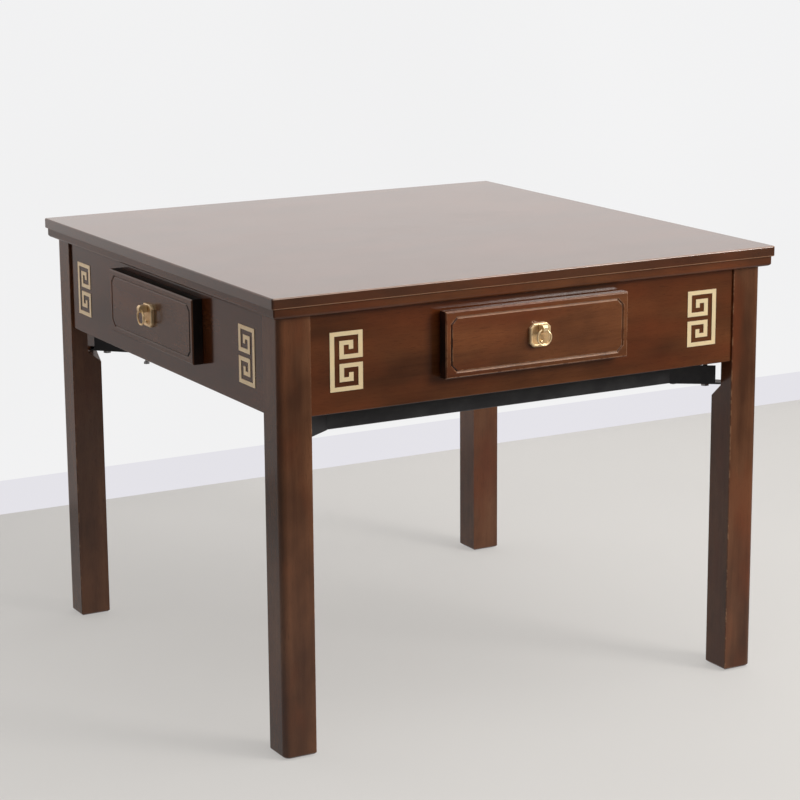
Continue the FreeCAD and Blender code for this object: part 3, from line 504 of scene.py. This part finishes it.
# %% Picking a piece and placing a primitive
def deselect_all():
    if bpy.context.object and bpy.context.object.mode != "OBJECT":
        bpy.ops.object.mode_set(mode="OBJECT")
    bpy.ops.object.select_all(action="DESELECT")


def make_active(piece):
    deselect_all()
    piece.select_set(True)
    bpy.context.view_layer.objects.active = piece


def apply_place(piece):
    """Place, turn and size of a new primitive, moved into its mesh."""
    make_active(piece)
    bpy.ops.object.transform_apply(location=True, rotation=True, scale=True)


def add_block(place, size, turned=(0, 0, 0)):
    """New block about its middle."""
    deselect_all()
    bpy.ops.mesh.primitive_cube_add(size=1, location=place, rotation=turned, scale=size)
    block = bpy.context.object
    apply_place(block)
    return block


def join_into(piece, other):
    """The other piece's mesh joined into the first one's."""
    make_active(piece)
    other.select_set(True)
    bpy.ops.object.join()


deselect_all()
print("selected", len(bpy.context.selected_objects))

# %% [markdown]
# Every piece moves with a body, and the record says which node belongs to which. A dressed piece
# takes its node's body and hides the node that it stands for.

# %% Bodies and slots
BODY_OF = {node: body for body, nodes in frame["record"]["behaviour"]["bodies"].items() for node in nodes}
SLOT_OF = {row["node"]: row["material_slot"] for row in frame["record"]["subparts"]}


def settle(piece, node):
    """A finished piece rides with the node's body and stands for it."""
    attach(piece, BODY_OF[node])
    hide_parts(node)
    return piece


# %% [markdown]
# Solids from a drawing have knife edges, and no real board does: sandpaper and lacquer leave every
# arris a little round, and that round is what catches light. So each visible board is copied, its
# loose triangles are merged back into flat faces, and a small bevel goes on every sharp edge. The
# bevelled strip gets the second material slot, which is where the stain is rubbed through.

# %% Eased copies
SAME_POINT = 0.01 * MM
SAME_PLANE = math.radians(0.5)
KNIFE_EDGE = math.radians(28)           # sharper turns than this are bevelled
SMOOTH_TURN = math.radians(35)          # gentler turns than this are shaded smooth


def merged_copy(node):
    piece = bpy.data.objects.new(node + "_eased", frame["nodes"][node].data.copy())
    bpy.context.collection.objects.link(piece)
    make_active(piece)
    bpy.ops.object.mode_set(mode="EDIT")
    bpy.ops.mesh.select_all(action="SELECT")
    bpy.ops.mesh.remove_doubles(threshold=SAME_POINT)
    bpy.ops.mesh.dissolve_limited(angle_limit=SAME_PLANE)
    bpy.ops.object.mode_set(mode="OBJECT")
    return piece


def apply_modifier(piece, kind, **settings):
    make_active(piece)
    modifier = piece.modifiers.new(kind.lower(), kind)
    for key, value in settings.items():
        setattr(modifier, key, value)
    bpy.ops.object.modifier_apply(modifier=modifier.name)


def bevel_edges(piece, width, segments, sharp=KNIFE_EDGE, **settings):
    """Bevel on all edges that turn further than sharp."""
    settings["limit_method"] = "ANGLE"
    apply_modifier(piece, "BEVEL", width=width, segments=segments, angle_limit=sharp, **settings)


def finish_mesh(piece, materials):
    """Materials in their slots, each face keeping its slot, and smooth shading between sharp edges."""
    slots = [polygon.material_index for polygon in piece.data.polygons]
    piece.data.materials.clear()
    for material in materials:
        piece.data.materials.append(material)
    for polygon, slot in zip(piece.data.polygons, slots):
        polygon.material_index = slot
    make_active(piece)
    bpy.ops.object.shade_smooth_by_angle(angle=SMOOTH_TURN)
    apply_modifier(piece, "WEIGHTED_NORMAL", weight=100, keep_sharp=True)


def eased(node, width, body_material, arris_material, segments=2):
    """Copy of a node with eased edges: face slot 0 is the body, slot 1 the bevelled arris."""
    piece = merged_copy(node)
    for material in (body_material, arris_material):
        piece.data.materials.append(material)
    for polygon in piece.data.polygons:
        polygon.material_index = 0
    bevel_edges(piece, width, segments, material=1)
    finish_mesh(piece, [body_material, arris_material])
    return settle(piece, node)


print("bevel above", round(math.degrees(KNIFE_EDGE)), "degrees")

# %% [markdown]
# A drawer face is made nearly black on its sawn ends. The same near-black is painted shade on the
# level edges of the left and right drawers and on the upright runs of the groove that look outward,
# and the groove's level runs are tan, for wear and painted highlight. On the cover the arrises at
# the left and right get less tan and none of the pale painted highlight of those in front and behind.
# Faces are picked by their place and by the way they look, and given a slot of their own.

# %% Near-black ends, painted shade and painted highlight
FACE_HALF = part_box("front_drawer_face")[1][0]
# left and right drawers' level edges get the near-black as painted shade
PAINTED_SHADE_LEVELS = ("left", "right")         # drawers whose long edges are as dark as their ends
IN_FROM_EDGE = 5 * MM                   # the groove lies further in than this
GROOVE_FROM = 0.3 * MM                  # and between these depths
GROOVE_TO = 2.2 * MM
SQUARE_ON = 0.9                         # a normal with this much of one axis looks along it
SLANTING = 0.3                          # and with less than this it looks across it


def paint_face_shade_highlight_and_wear(piece, side, dark, rubbed_and_highlighted):
    """Third slot near-black: the ends, and painted shade on side drawers' level edges and outward groove
    walls; fourth tan, for wear and painted highlight, on the groove's level runs.
    """
    for material in (dark, rubbed_and_highlighted):
        piece.data.materials.append(material)
    to_front = Matrix.Rotation(-SIDES[side] * math.pi / 2, 3, "Z")
    places = [to_front @ polygon.center for polygon in piece.data.polygons]
    front = min(place.y for place in places)
    levels = [vertex.co.z for vertex in piece.data.vertices]
    middle, half_height = (max(levels) + min(levels)) / 2, (max(levels) - min(levels)) / 2
    for polygon, place in zip(piece.data.polygons, places):
        facing = to_front @ polygon.normal
        on_end = abs(facing.x) > SQUARE_ON and abs(place.x) > FACE_HALF - MM
        on_level = abs(facing.z) > SQUARE_ON and abs(place.z - middle) > half_height - MM
        beside = abs(place.x) < FACE_HALF - IN_FROM_EDGE
        between = abs(place.z - middle) < half_height - IN_FROM_EDGE
        in_groove = beside and between and GROOVE_FROM < place.y - front < GROOVE_TO
        outward = facing.x * math.copysign(1, place.x)
        # slot 2 near-black: ends, and painted shade on side drawers' level edges and outward groove walls;
        # slot 3 tan: wear and painted highlight
        if on_end or (on_level and side in PAINTED_SHADE_LEVELS) or (in_groove and outward > SLANTING):
            polygon.material_index = 2
        elif in_groove and outward > -SLANTING:
            polygon.material_index = 3
        elif in_groove:
            polygon.material_index = 0


def sort_arrises(piece, at_sides, low):
    """Third slot for arrises at the left and right, with less tan and no pale painted highlight, and fourth
    for lower ones.
    """
    for material in (at_sides, low):
        piece.data.materials.append(material)
    for polygon in piece.data.polygons:
        if polygon.material_index == 1 and abs(polygon.normal.x) > abs(polygon.normal.y):
            polygon.material_index = 2
        elif polygon.material_index == 1 and polygon.normal.z < 0:
            polygon.material_index = 3


print("drawer face", round(2 * FACE_HALF / MM), "mm wide")

# %% [markdown]
# The boards. Grain runs along each rim, apron and drawer face, up each leg, and along X on the
# cover. The cover and its arris have the deeper coat, because a table top is flatted and sprayed
# more often than the frame under it. Each kind of piece has its own ease: handled edges are
# rounder, and a drawer face keeps crisp lines.

# %% Wooden pieces
GRAIN_OF_SIDE = {"front": "x", "right": "y", "back": "x", "left": "y"}
EASE = {
    "cover": 0.9 * MM,
    "apron": 0.6 * MM,
    "rim": 0.5 * MM,
    "face": 0.35 * MM,
    "box": 0.5 * MM,
    "leg": 0.5 * MM,
    "strip": 0.25 * MM,
    "rail": 0.8 * MM,
    "arm": 0.4 * MM,
    "felt": 0.7 * MM,
    "post": 0.5 * MM,
    "plate": 0.25 * MM,
}

cover = eased("cover_board", EASE["cover"], walnut_cover, walnut_cover_highlight)
sort_arrises(cover, walnut_cover_side, walnut_cover_low)
for side, grain in GRAIN_OF_SIDE.items():
    eased(side + "_apron", EASE["apron"], walnut_along[grain], walnut_worn_and_highlighted[grain])
    eased(side + "_rim", EASE["rim"], face_along[grain], walnut_worn_and_highlighted[grain])
    face = eased(side + "_drawer_face", EASE["face"], face_along[grain], walnut_rubbed_and_highlighted[grain])
    paint_face_shade_highlight_and_wear(face, side, walnut_end_and_painted_shade, walnut_groove_wear_and_highlight[grain])
    eased(side + "_drawer_box", EASE["box"], drawer_wood, drawer_wood)
for corner in CORNERS:
    eased("leg_" + corner, EASE["leg"], walnut_leg, walnut_leg_worn_and_highlighted)
print("boards eased")

# %% [markdown]
# The steel frame and the brass strip are eased too: folded steel has no sharp edge, and the strip's
# edges are broken by the punch. Steel isn't worn through, so both its slots are alike. The strip's
# eased edge takes a dark colour, which draws a dark line round each meander.

# %% Metal strips, rails and arms
for side in SIDES:
    eased(side + "_meanders", EASE["strip"], brass_strip, brass_edge)
    eased(side + "_rail", EASE["rail"], black_steel, black_steel)
for corner in ("front_right", "front_left"):
    eased("corner_arm_" + corner, EASE["arm"], black_steel, black_steel)
print("metal eased")

# %% [markdown]
# The felt is one square of wool cloth, 2 mm thick, glued flat on the playing board before the rim
# goes round it. Pressed cloth has no sharp edge either, so its cut edge is rounded over. Because it
# lies flat, the size it was cut to is simply the size of its box.

# %% Playing felt
felt_sheet = eased("playing_felt", EASE["felt"], green_felt, green_felt, segments=3)

# %% [markdown]
# The two arms at the back are made the other way round: the upright web stands along the flange's
# near edge. The old web is cut off the copy with a level plane, and a new plate is set from the
# rail's end to just short of the leg. Both ends are read off the flange that is left.

# %% Back corner arms
ARM_PLATE = 3 * MM
ARM_WEB_HEIGHT = 30 * MM
ARM_WEB_SHORT = 10 * MM
NEAR = 0.1 * MM                         # points closer than this are at the same place


def web_run(arm, rail_end):
    """The new web's middle seen from above, its length and its direction."""
    points = [vertex.co.copy() for vertex in arm.data.vertices]
    at_leg = max(points, key=lambda point: abs(point.x))
    on_rail = [point for point in points if abs(abs(point.x) - rail_end) < NEAR]
    at_rail = min(on_rail, key=lambda point: abs(point.y))
    run = (at_rail - at_leg).xy
    along = run.normalized()
    across = Vector((-at_leg.x, at_leg.y)).normalized()
    length = run.length - ARM_WEB_SHORT
    middle = at_leg.xy + along * (ARM_WEB_SHORT + length / 2) + across * ARM_PLATE / 2
    return middle, length, along


def make_back_arm(corner):
    node = "corner_arm_" + corner
    arm = merged_copy(node)
    flange_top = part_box(node)[0][2] + ARM_PLATE
    bpy.ops.object.mode_set(mode="EDIT")
    bpy.ops.mesh.select_all(action="SELECT")
    bpy.ops.mesh.bisect(plane_co=(0, 0, flange_top), plane_no=(0, 0, 1), use_fill=True, clear_outer=True)
    bpy.ops.object.mode_set(mode="OBJECT")
    middle, length, along = web_run(arm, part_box("back_rail")[1][0])
    place = (*middle, flange_top + ARM_WEB_HEIGHT / 2)
    turned = (0, 0, math.atan2(along.y, along.x))
    join_into(arm, add_block(place, (length, ARM_PLATE, ARM_WEB_HEIGHT), turned))
    bevel_edges(arm, EASE["arm"], 2)
    finish_mesh(arm, [black_steel])
    settle(arm, node)
    print(node, "web", round(length / MM, 1), "mm")


for corner in ("back_right", "back_left"):
    make_back_arm(corner)

# %% [markdown]
# The ring pulls are small castings and carry the eye, so they are made with more care than the
# boards. All four are alike: one is worked on the front side as if its drawer were shut, then
# copied round by quarter turns. Its place is read off the right side's plate, whose drawer is shut,
# and the front drawer stands open by the difference between the two.

# %% Where the pulls are
plate_low, plate_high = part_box("right_pull_plate")
STUD_HEIGHT = 3 * MM                    # the stud stands out of the plate, and that box takes it in
PLATE_HALF = plate_high[1]
PLATE_FACE = STUD_HEIGHT - plate_high[0]
PLATE_THICK = -PLATE_FACE - plate_low[0]
PLATE_MIDDLE = (plate_low[2] + plate_high[2]) / 2
FRONT_DRAWER_OPEN = -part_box("front_pull_plate")[0][1] - plate_high[0]


def turned_mesh(source, side, name):
    """Own copy of a mesh made for the shut front drawer, turned to its side."""
    piece = bpy.data.objects.new(name, source.data.copy())
    bpy.context.collection.objects.link(piece)
    piece.data.transform(Matrix.Rotation(SIDES[side] * math.pi / 2, 4, "Z"))
    if side == "front":
        piece.data.transform(Matrix.Translation((0, -FRONT_DRAWER_OPEN, 0)))
    return piece


def spread_round(source, part, *materials):
    """The four copies of a pull part, and the first one removed."""
    for side in SIDES:
        piece = turned_mesh(source, side, side + "_" + part + "_made")
        finish_mesh(piece, materials)
        settle(piece, side + "_" + part)
    bpy.data.objects.remove(source)


print("plate", round(2 * PLATE_HALF / MM, 1), "mm wide,", round(PLATE_THICK / MM, 1), "mm thick")

# %% [markdown]
# The plate starts as a block. Its four corners are clipped by a bevel with one segment, its front
# face is inset twice and then sunk, which leaves a raised border round the field, and the outline
# of the front is pushed back a little, which slopes the rim. Faces and edges are picked by place.

# %% Pull plate
PLATE_CLIP = 7 * MM
PLATE_BEVEL = 1.2 * MM
PLATE_BORDER = 2.2 * MM
FIELD_SLOPE = 0.7 * MM
FIELD_DEPTH = 0.6 * MM
PLATE_EDGE = math.radians(20)           # the slopes round the field turn less than a board's edge


def select_parts(piece, kind, wanted):
    """Edit mode with only those faces, edges or points selected that are wanted."""
    make_active(piece)
    bpy.ops.object.mode_set(mode="EDIT")
    bpy.ops.mesh.select_mode(type=kind)
    bpy.ops.mesh.select_all(action="DESELECT")
    bpy.ops.object.mode_set(mode="OBJECT")
    parts = {"FACE": piece.data.polygons, "EDGE": piece.data.edges, "VERT": piece.data.vertices}[kind]
    for part in parts:
        part.select = wanted(part)
    bpy.ops.object.mode_set(mode="EDIT")


def looks_front(face):
    return face.normal.y < -SQUARE_ON


def on_front_outline(vertex):
    x, y, z = vertex.co
    beside = max(abs(x), abs(z - PLATE_MIDDLE)) > PLATE_HALF - NEAR
    clipped = abs(x) + abs(z - PLATE_MIDDLE) > 2 * PLATE_HALF - PLATE_CLIP - NEAR
    return (beside or clipped) and y < PLATE_FACE + NEAR


def make_plate():
    middle = (0, PLATE_FACE + PLATE_THICK / 2, PLATE_MIDDLE)
    plate = add_block(middle, (2 * PLATE_HALF, PLATE_THICK, 2 * PLATE_HALF))
    for material in (cast_brass, field_brass_painted_shade):
        plate.data.materials.append(material)
    points = plate.data.vertices

    def from_back_to_front(edge):
        first, second = (points[index].co.y for index in edge.vertices)
        return abs(first - second) > NEAR

    select_parts(plate, "EDGE", from_back_to_front)
    bpy.ops.mesh.bevel(offset=PLATE_CLIP, offset_type="OFFSET", segments=1)
    select_parts(plate, "FACE", looks_front)
    bpy.ops.mesh.inset(thickness=PLATE_BEVEL, depth=0)
    bpy.ops.mesh.inset(thickness=PLATE_BORDER, depth=0)
    bpy.ops.mesh.inset(thickness=FIELD_SLOPE, depth=-FIELD_DEPTH)
    # the sunk field takes the darker brass, painted shade
    plate.active_material_index = 1
    bpy.ops.object.material_slot_assign()
    select_parts(plate, "VERT", on_front_outline)
    bpy.ops.transform.translate(value=(0, PLATE_BEVEL, 0))
    bpy.ops.object.mode_set(mode="OBJECT")
    bevel_edges(plate, EASE["plate"], 2, PLATE_EDGE)
    return plate


plate = make_plate()
print("plate faces", len(plate.data.polygons))

# %% [markdown]
# The stud stops the ring. It is a short pin with a domed head, soldered into the plate: a cylinder
# whose outer rim is bevelled in five steps until it is nearly a half ball. The post is the packed
# solid with its edges eased, because its bored eye has to fit the ring's pin.

# %% Stud and post
STUD_MIDDLE = PLATE_MIDDLE - 10.7 * MM
STUD_RADIUS = 2.5 * MM
STUD_ROOT = 0.8 * MM                    # from the plate's face back to where the stud starts
STUD_DOME = 2.0 * MM
UPRIGHT = (math.pi / 2, 0, 0)           # the turn that stands a level primitive up, facing front


def make_stud():
    deselect_all()
    length = STUD_HEIGHT + STUD_ROOT
    middle = (0, PLATE_FACE - STUD_HEIGHT + length / 2, STUD_MIDDLE)
    size = {"vertices": 24, "radius": STUD_RADIUS, "depth": length}
    bpy.ops.mesh.primitive_cylinder_add(location=middle, rotation=UPRIGHT, **size)
    stud = bpy.context.object
    apply_place(stud)
    select_parts(stud, "FACE", looks_front)
    bpy.ops.mesh.bevel(offset=STUD_DOME, segments=5, profile=0.5)
    bpy.ops.object.mode_set(mode="OBJECT")
    stud.data.materials.append(stud_brass)
    return stud


join_into(plate, make_stud())
spread_round(plate, "pull_plate", cast_brass, field_brass_painted_shade, stud_brass)
post = merged_copy("right_pull_post")
post.data.transform(Matrix.Rotation(-math.pi / 2, 4, "Z"))
bevel_edges(post, EASE["post"], 3)
spread_round(post, "pull_post", cast_brass)
print("plates and posts set")

# %% [markdown]
# The ring is a round wire bent almost to a full circle, its two ends straightened into a pin that
# passes through the post. One round section is spun about the ring's middle, from one end of the
# pin to the other. A torus would be quicker and would have nothing to hold it.

# %% Ring
RING_RADIUS = 13 * MM
WIRE_RADIUS = 1.6 * MM
PIN_RADIUS = 1.5 * MM
PIN_HALF = 5.5 * MM                     # from the post's middle to where the wire bends into the pin
RING_PLANE = PLATE_FACE - 10.5 * MM
PIN_LEVEL = PLATE_MIDDLE + 9.5 * MM
RING_MIDDLE = PIN_LEVEL - math.sqrt(RING_RADIUS ** 2 - PIN_HALF ** 2)
RING_STEPS = 56
ACROSS = math.pi / 2                    # the turn about Y that makes a level circle look along X


def add_loop(x, radius, turned):
    """One loop of the wire or the pin, at the pin's level."""
    deselect_all()
    settings = {"location": (x, RING_PLANE, PIN_LEVEL), "rotation": (0, turned, 0)}
    bpy.ops.mesh.primitive_circle_add(vertices=16, radius=radius, **settings)
    loop = bpy.context.object
    apply_place(loop)
    return loop


def make_ring():
    end_turn = math.asin(PIN_HALF / RING_RADIUS)
    ring = add_loop(PIN_HALF, WIRE_RADIUS, ACROSS + end_turn)
    bpy.ops.object.mode_set(mode="EDIT")
    bpy.ops.mesh.select_all(action="SELECT")
    sweep = 2 * math.pi - 2 * end_turn
    bpy.ops.mesh.spin(steps=RING_STEPS, angle=sweep, center=(0, RING_PLANE, RING_MIDDLE), axis=(0, 1, 0))
    bpy.ops.object.mode_set(mode="OBJECT")
    return ring


ring = make_ring()
print("ring faces", len(ring.data.polygons))

# %% [markdown]
# The pin is thinner than the wire, so a loose loop goes where each straight end begins. Bridging
# then joins an end of the spun wire to its loop on the right, the same on the left, and last the
# two loops to each other, through the post. The new faces may point either way, so all of them are
# made consistent at the end.

# %% Pin
PIN_STRAIGHT = 4.8 * MM                 # half the length of the straight pin


def bridge_open_loops(piece, wanted):
    """Faces between the two open loops whose points are wanted."""
    faces_on = {}
    for polygon in piece.data.polygons:
        for key in polygon.edge_keys:
            faces_on[key] = faces_on.get(key, 0) + 1

    def is_open_and_wanted(edge):
        is_open = faces_on.get(tuple(sorted(edge.vertices)), 0) < 2
        return is_open and all(wanted(piece.data.vertices[index].co) for index in edge.vertices)

    select_parts(piece, "EDGE", is_open_and_wanted)
    bpy.ops.mesh.bridge_edge_loops()
    bpy.ops.object.mode_set(mode="OBJECT")


for x in (-PIN_STRAIGHT, PIN_STRAIGHT):
    join_into(ring, add_loop(x, PIN_RADIUS, ACROSS))
bridge_open_loops(ring, lambda place: place.x > 0)
bridge_open_loops(ring, lambda place: place.x < 0)
bridge_open_loops(ring, lambda place: True)
make_active(ring)
bpy.ops.object.mode_set(mode="EDIT")
bpy.ops.mesh.select_all(action="SELECT")
bpy.ops.mesh.normals_make_consistent(inside=False)
bpy.ops.object.mode_set(mode="OBJECT")
print("ring and pin faces", len(ring.data.polygons))
spread_round(ring, "pull_ring", cast_brass)

# %% [markdown]
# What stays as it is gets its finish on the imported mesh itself: the hidden boards, the blocks and
# runners, the fasteners and the feet. A node that a dressed piece stands for is left out.

# %% Finishes on the remaining solids
FINISH_OF_SLOT = {
    "plain_wood": plain_wood,
    "plywood": plywood,
    "zinc_steel": zinc_steel,
    "black_plastic": black_plastic,
}
for node, thing in frame["nodes"].items():
    finish = FINISH_OF_SLOT.get(SLOT_OF[node])
    if finish and not thing.hide_render:
        thing.data.materials.clear()
        thing.data.materials.append(finish)
print("finishes set")

# %% [markdown]
# The floor and the wall behind are plain and pale, and aren't part of the table. A low skirting
# stands at the wall's foot. All three are seen from one side only, so that the table can be looked
# at from behind and from below as well. What polished wood and brass show of them is painted
# reflection: a set bright wall, with painted shade dimming it towards its foot, and a set darker
# floor, with a brighter ring round the table.

# %% Floor and wall
WALL_DISTANCE = 1.19
SKIRTING_THICK = 12 * MM
SKIRTING_HEIGHT = 76 * MM
STAGE_WIDTH = 14.0
FLOOR_BOUNCE = 0.55                     # share of the floor's colour in bounced light
WALL_BOUNCE = 1.0
FLOOR_SEEN = 0.6                        # share of its colour that the camera sees whatever the light
WALL_SEEN = 1.0
WALL_HEIGHT = 4.0
FLOOR_COLOUR = (0.68, 0.663, 0.643, 1)
# colours that polish shows of the floor and wall, whatever the light: painted reflections
FLOOR_MIRRORED = (0.15, 0.145, 0.14, 1)
FLOOR_NEAR_MIRRORED = (0.42, 0.395, 0.38, 1)
FLOOR_DIMS = (1.0, 2.2)                 # metres from the table's middle
WALL_COLOUR = (0.90, 0.90, 0.905, 1)
SKIRTING_COLOUR = (0.79, 0.78, 0.825, 1)
WALL_MIRRORED = (0.84, 0.78, 0.755, 1)
WALL_LOW_MIRRORED = (0.52, 0.47, 0.45, 1)
WALL_BRIGHTENS = (0.45, 0.80)           # metres up
MOTTLE = 0.97                           # the darker patches' share of a stage colour


def shaded(colour, share):
    """Colour at a share of its strength."""
    return tuple(share * part for part in colour[:3]) + (1,)


def stage_material(name, colour, seen, bounce, reflected):
    """Matt colour, clear from behind, steady by a share for the camera, set apart in reflections."""
    material, tree, shader, place = new_material(name)
    shader.inputs["Roughness"].default_value = 0.9
    shader.inputs["Specular IOR Level"].default_value = 0.1
    wide = noise(tree, place, 1.1, 2.0)
    tinted = blend(tree, ramp(tree, wide, 0.2, 0.8), colour, shaded(colour, MOTTLE))
    path = add(tree, "LightPath")
    lit = blend(tree, path.outputs["Is Camera Ray"], shaded(colour, bounce), tinted)
    tree.links.new(lit, shader.inputs["Base Color"])
    shown = blend(tree, path.outputs["Is Glossy Ray"], tinted, reflected(tree, place))
    steady = add(tree, "Emission", {"Color": shown})
    weight = arithmetic(tree, "MULTIPLY", path.outputs["Is Camera Ray"], seen)
    share = arithmetic(tree, "MAXIMUM", weight, path.outputs["Is Glossy Ray"])
    mixed = add(tree, "MixShader", {0: share, 1: shader.outputs[0], 2: steady.outputs[0]})
    behind = add(tree, "NewGeometry").outputs["Backfacing"]
    clear = add(tree, "BsdfTransparent")
    one_sided = add(tree, "MixShader", {0: behind, 1: mixed.outputs[0], 2: clear.outputs[0]})
    tree.links.new(one_sided.outputs[0], tree.nodes["Material Output"].inputs["Surface"])
    return material


def floor_in_lacquer(tree, place):
    """Painted reflection of the floor in polish: bright round the table, dim further off."""
    distance = add(tree, "VectorMath", {0: place}, operation="LENGTH").outputs["Value"]
    return blend(tree, ramp(tree, distance, *FLOOR_DIMS), FLOOR_NEAR_MIRRORED, FLOOR_MIRRORED)


def wall_in_lacquer(tree, place):
    """Painted reflection of the wall in polish, with painted shade dimmer towards the floor."""
    height = add(tree, "SeparateXYZ", {0: place}).outputs["Z"]
    return blend(tree, ramp(tree, height, *WALL_BRIGHTENS), WALL_LOW_MIRRORED, WALL_MIRRORED)


def make_stage_plane(name, place, size, turned, paint):
    """Wide level or upright plane, with its turn and size moved into its mesh."""
    deselect_all()
    bpy.ops.mesh.primitive_plane_add(size=1, location=place, rotation=turned)
    plane = bpy.context.object
    plane.name = name
    plane.scale = (*size, 1)
    apply_place(plane)
    plane.data.materials.append(paint)


floor_paint = stage_material("floor paint", FLOOR_COLOUR, FLOOR_SEEN, FLOOR_BOUNCE, floor_in_lacquer)
wall_paint = stage_material("wall paint", WALL_COLOUR, WALL_SEEN, WALL_BOUNCE, wall_in_lacquer)
skirting_paint = stage_material(
    "skirting paint", SKIRTING_COLOUR, WALL_SEEN, WALL_BOUNCE, wall_in_lacquer)
wall_place = (0, WALL_DISTANCE, WALL_HEIGHT / 2)
skirting_place = (0, WALL_DISTANCE - SKIRTING_THICK, SKIRTING_HEIGHT / 2)
make_stage_plane("floor", (0, 0, 0), (STAGE_WIDTH, STAGE_WIDTH), (0, 0, 0), floor_paint)
make_stage_plane("wall", wall_place, (STAGE_WIDTH, WALL_HEIGHT), UPRIGHT, wall_paint)
make_stage_plane("skirting", skirting_place, (STAGE_WIDTH, SKIRTING_HEIGHT), UPRIGHT, skirting_paint)
print("floor and wall ready")

# %% [markdown]
# Light is soft and even, as from a white ceiling, with a large panel at the front right that
# models the brown faces. The surroundings are pale to the camera and dim in reflections, so that
# the lacquer keeps its depth.

# %% Lamps and surroundings
SKY_LIGHT = 0.13                        # strength on the table and in reflections
SKY_SEEN = 0.48                         # added for the camera alone
SKY_COLOUR = (1.0, 0.995, 0.985, 1)


def area_lamp(name, place, aim, size, power, colour):
    data = bpy.data.lights.new(name, "AREA")
    data.shape = "RECTANGLE"
    data.size, data.size_y = size
    data.energy = power
    data.color = colour
    lamp = bpy.data.objects.new(name, data)
    bpy.context.collection.objects.link(lamp)
    lamp.location = place
    lamp.rotation_euler = (Vector(aim) - Vector(place)).to_track_quat("-Z", "Y").to_euler()


area_lamp("ceiling panel", place=(0.9, -1.3, 3.1), aim=(0, 0, 0), size=(4.5, 4.0), power=112,
          colour=(1.0, 0.985, 0.96))
area_lamp("front panel", place=(2.3, -3.2, 1.9), aim=(0, -0.4, 0.6), size=(1.3, 1.2), power=96,
          colour=(1.0, 0.97, 0.93))

world = bpy.data.worlds.new("surroundings")
bpy.context.scene.world = world
world.use_nodes = True
sky = world.node_tree
background = sky.nodes["Background"]
to_camera = add(sky, "LightPath").outputs["Is Camera Ray"]
sky.links.new(multiply_add(sky, to_camera, SKY_SEEN, SKY_LIGHT), background.inputs["Strength"])
background.inputs["Color"].default_value = SKY_COLOUR
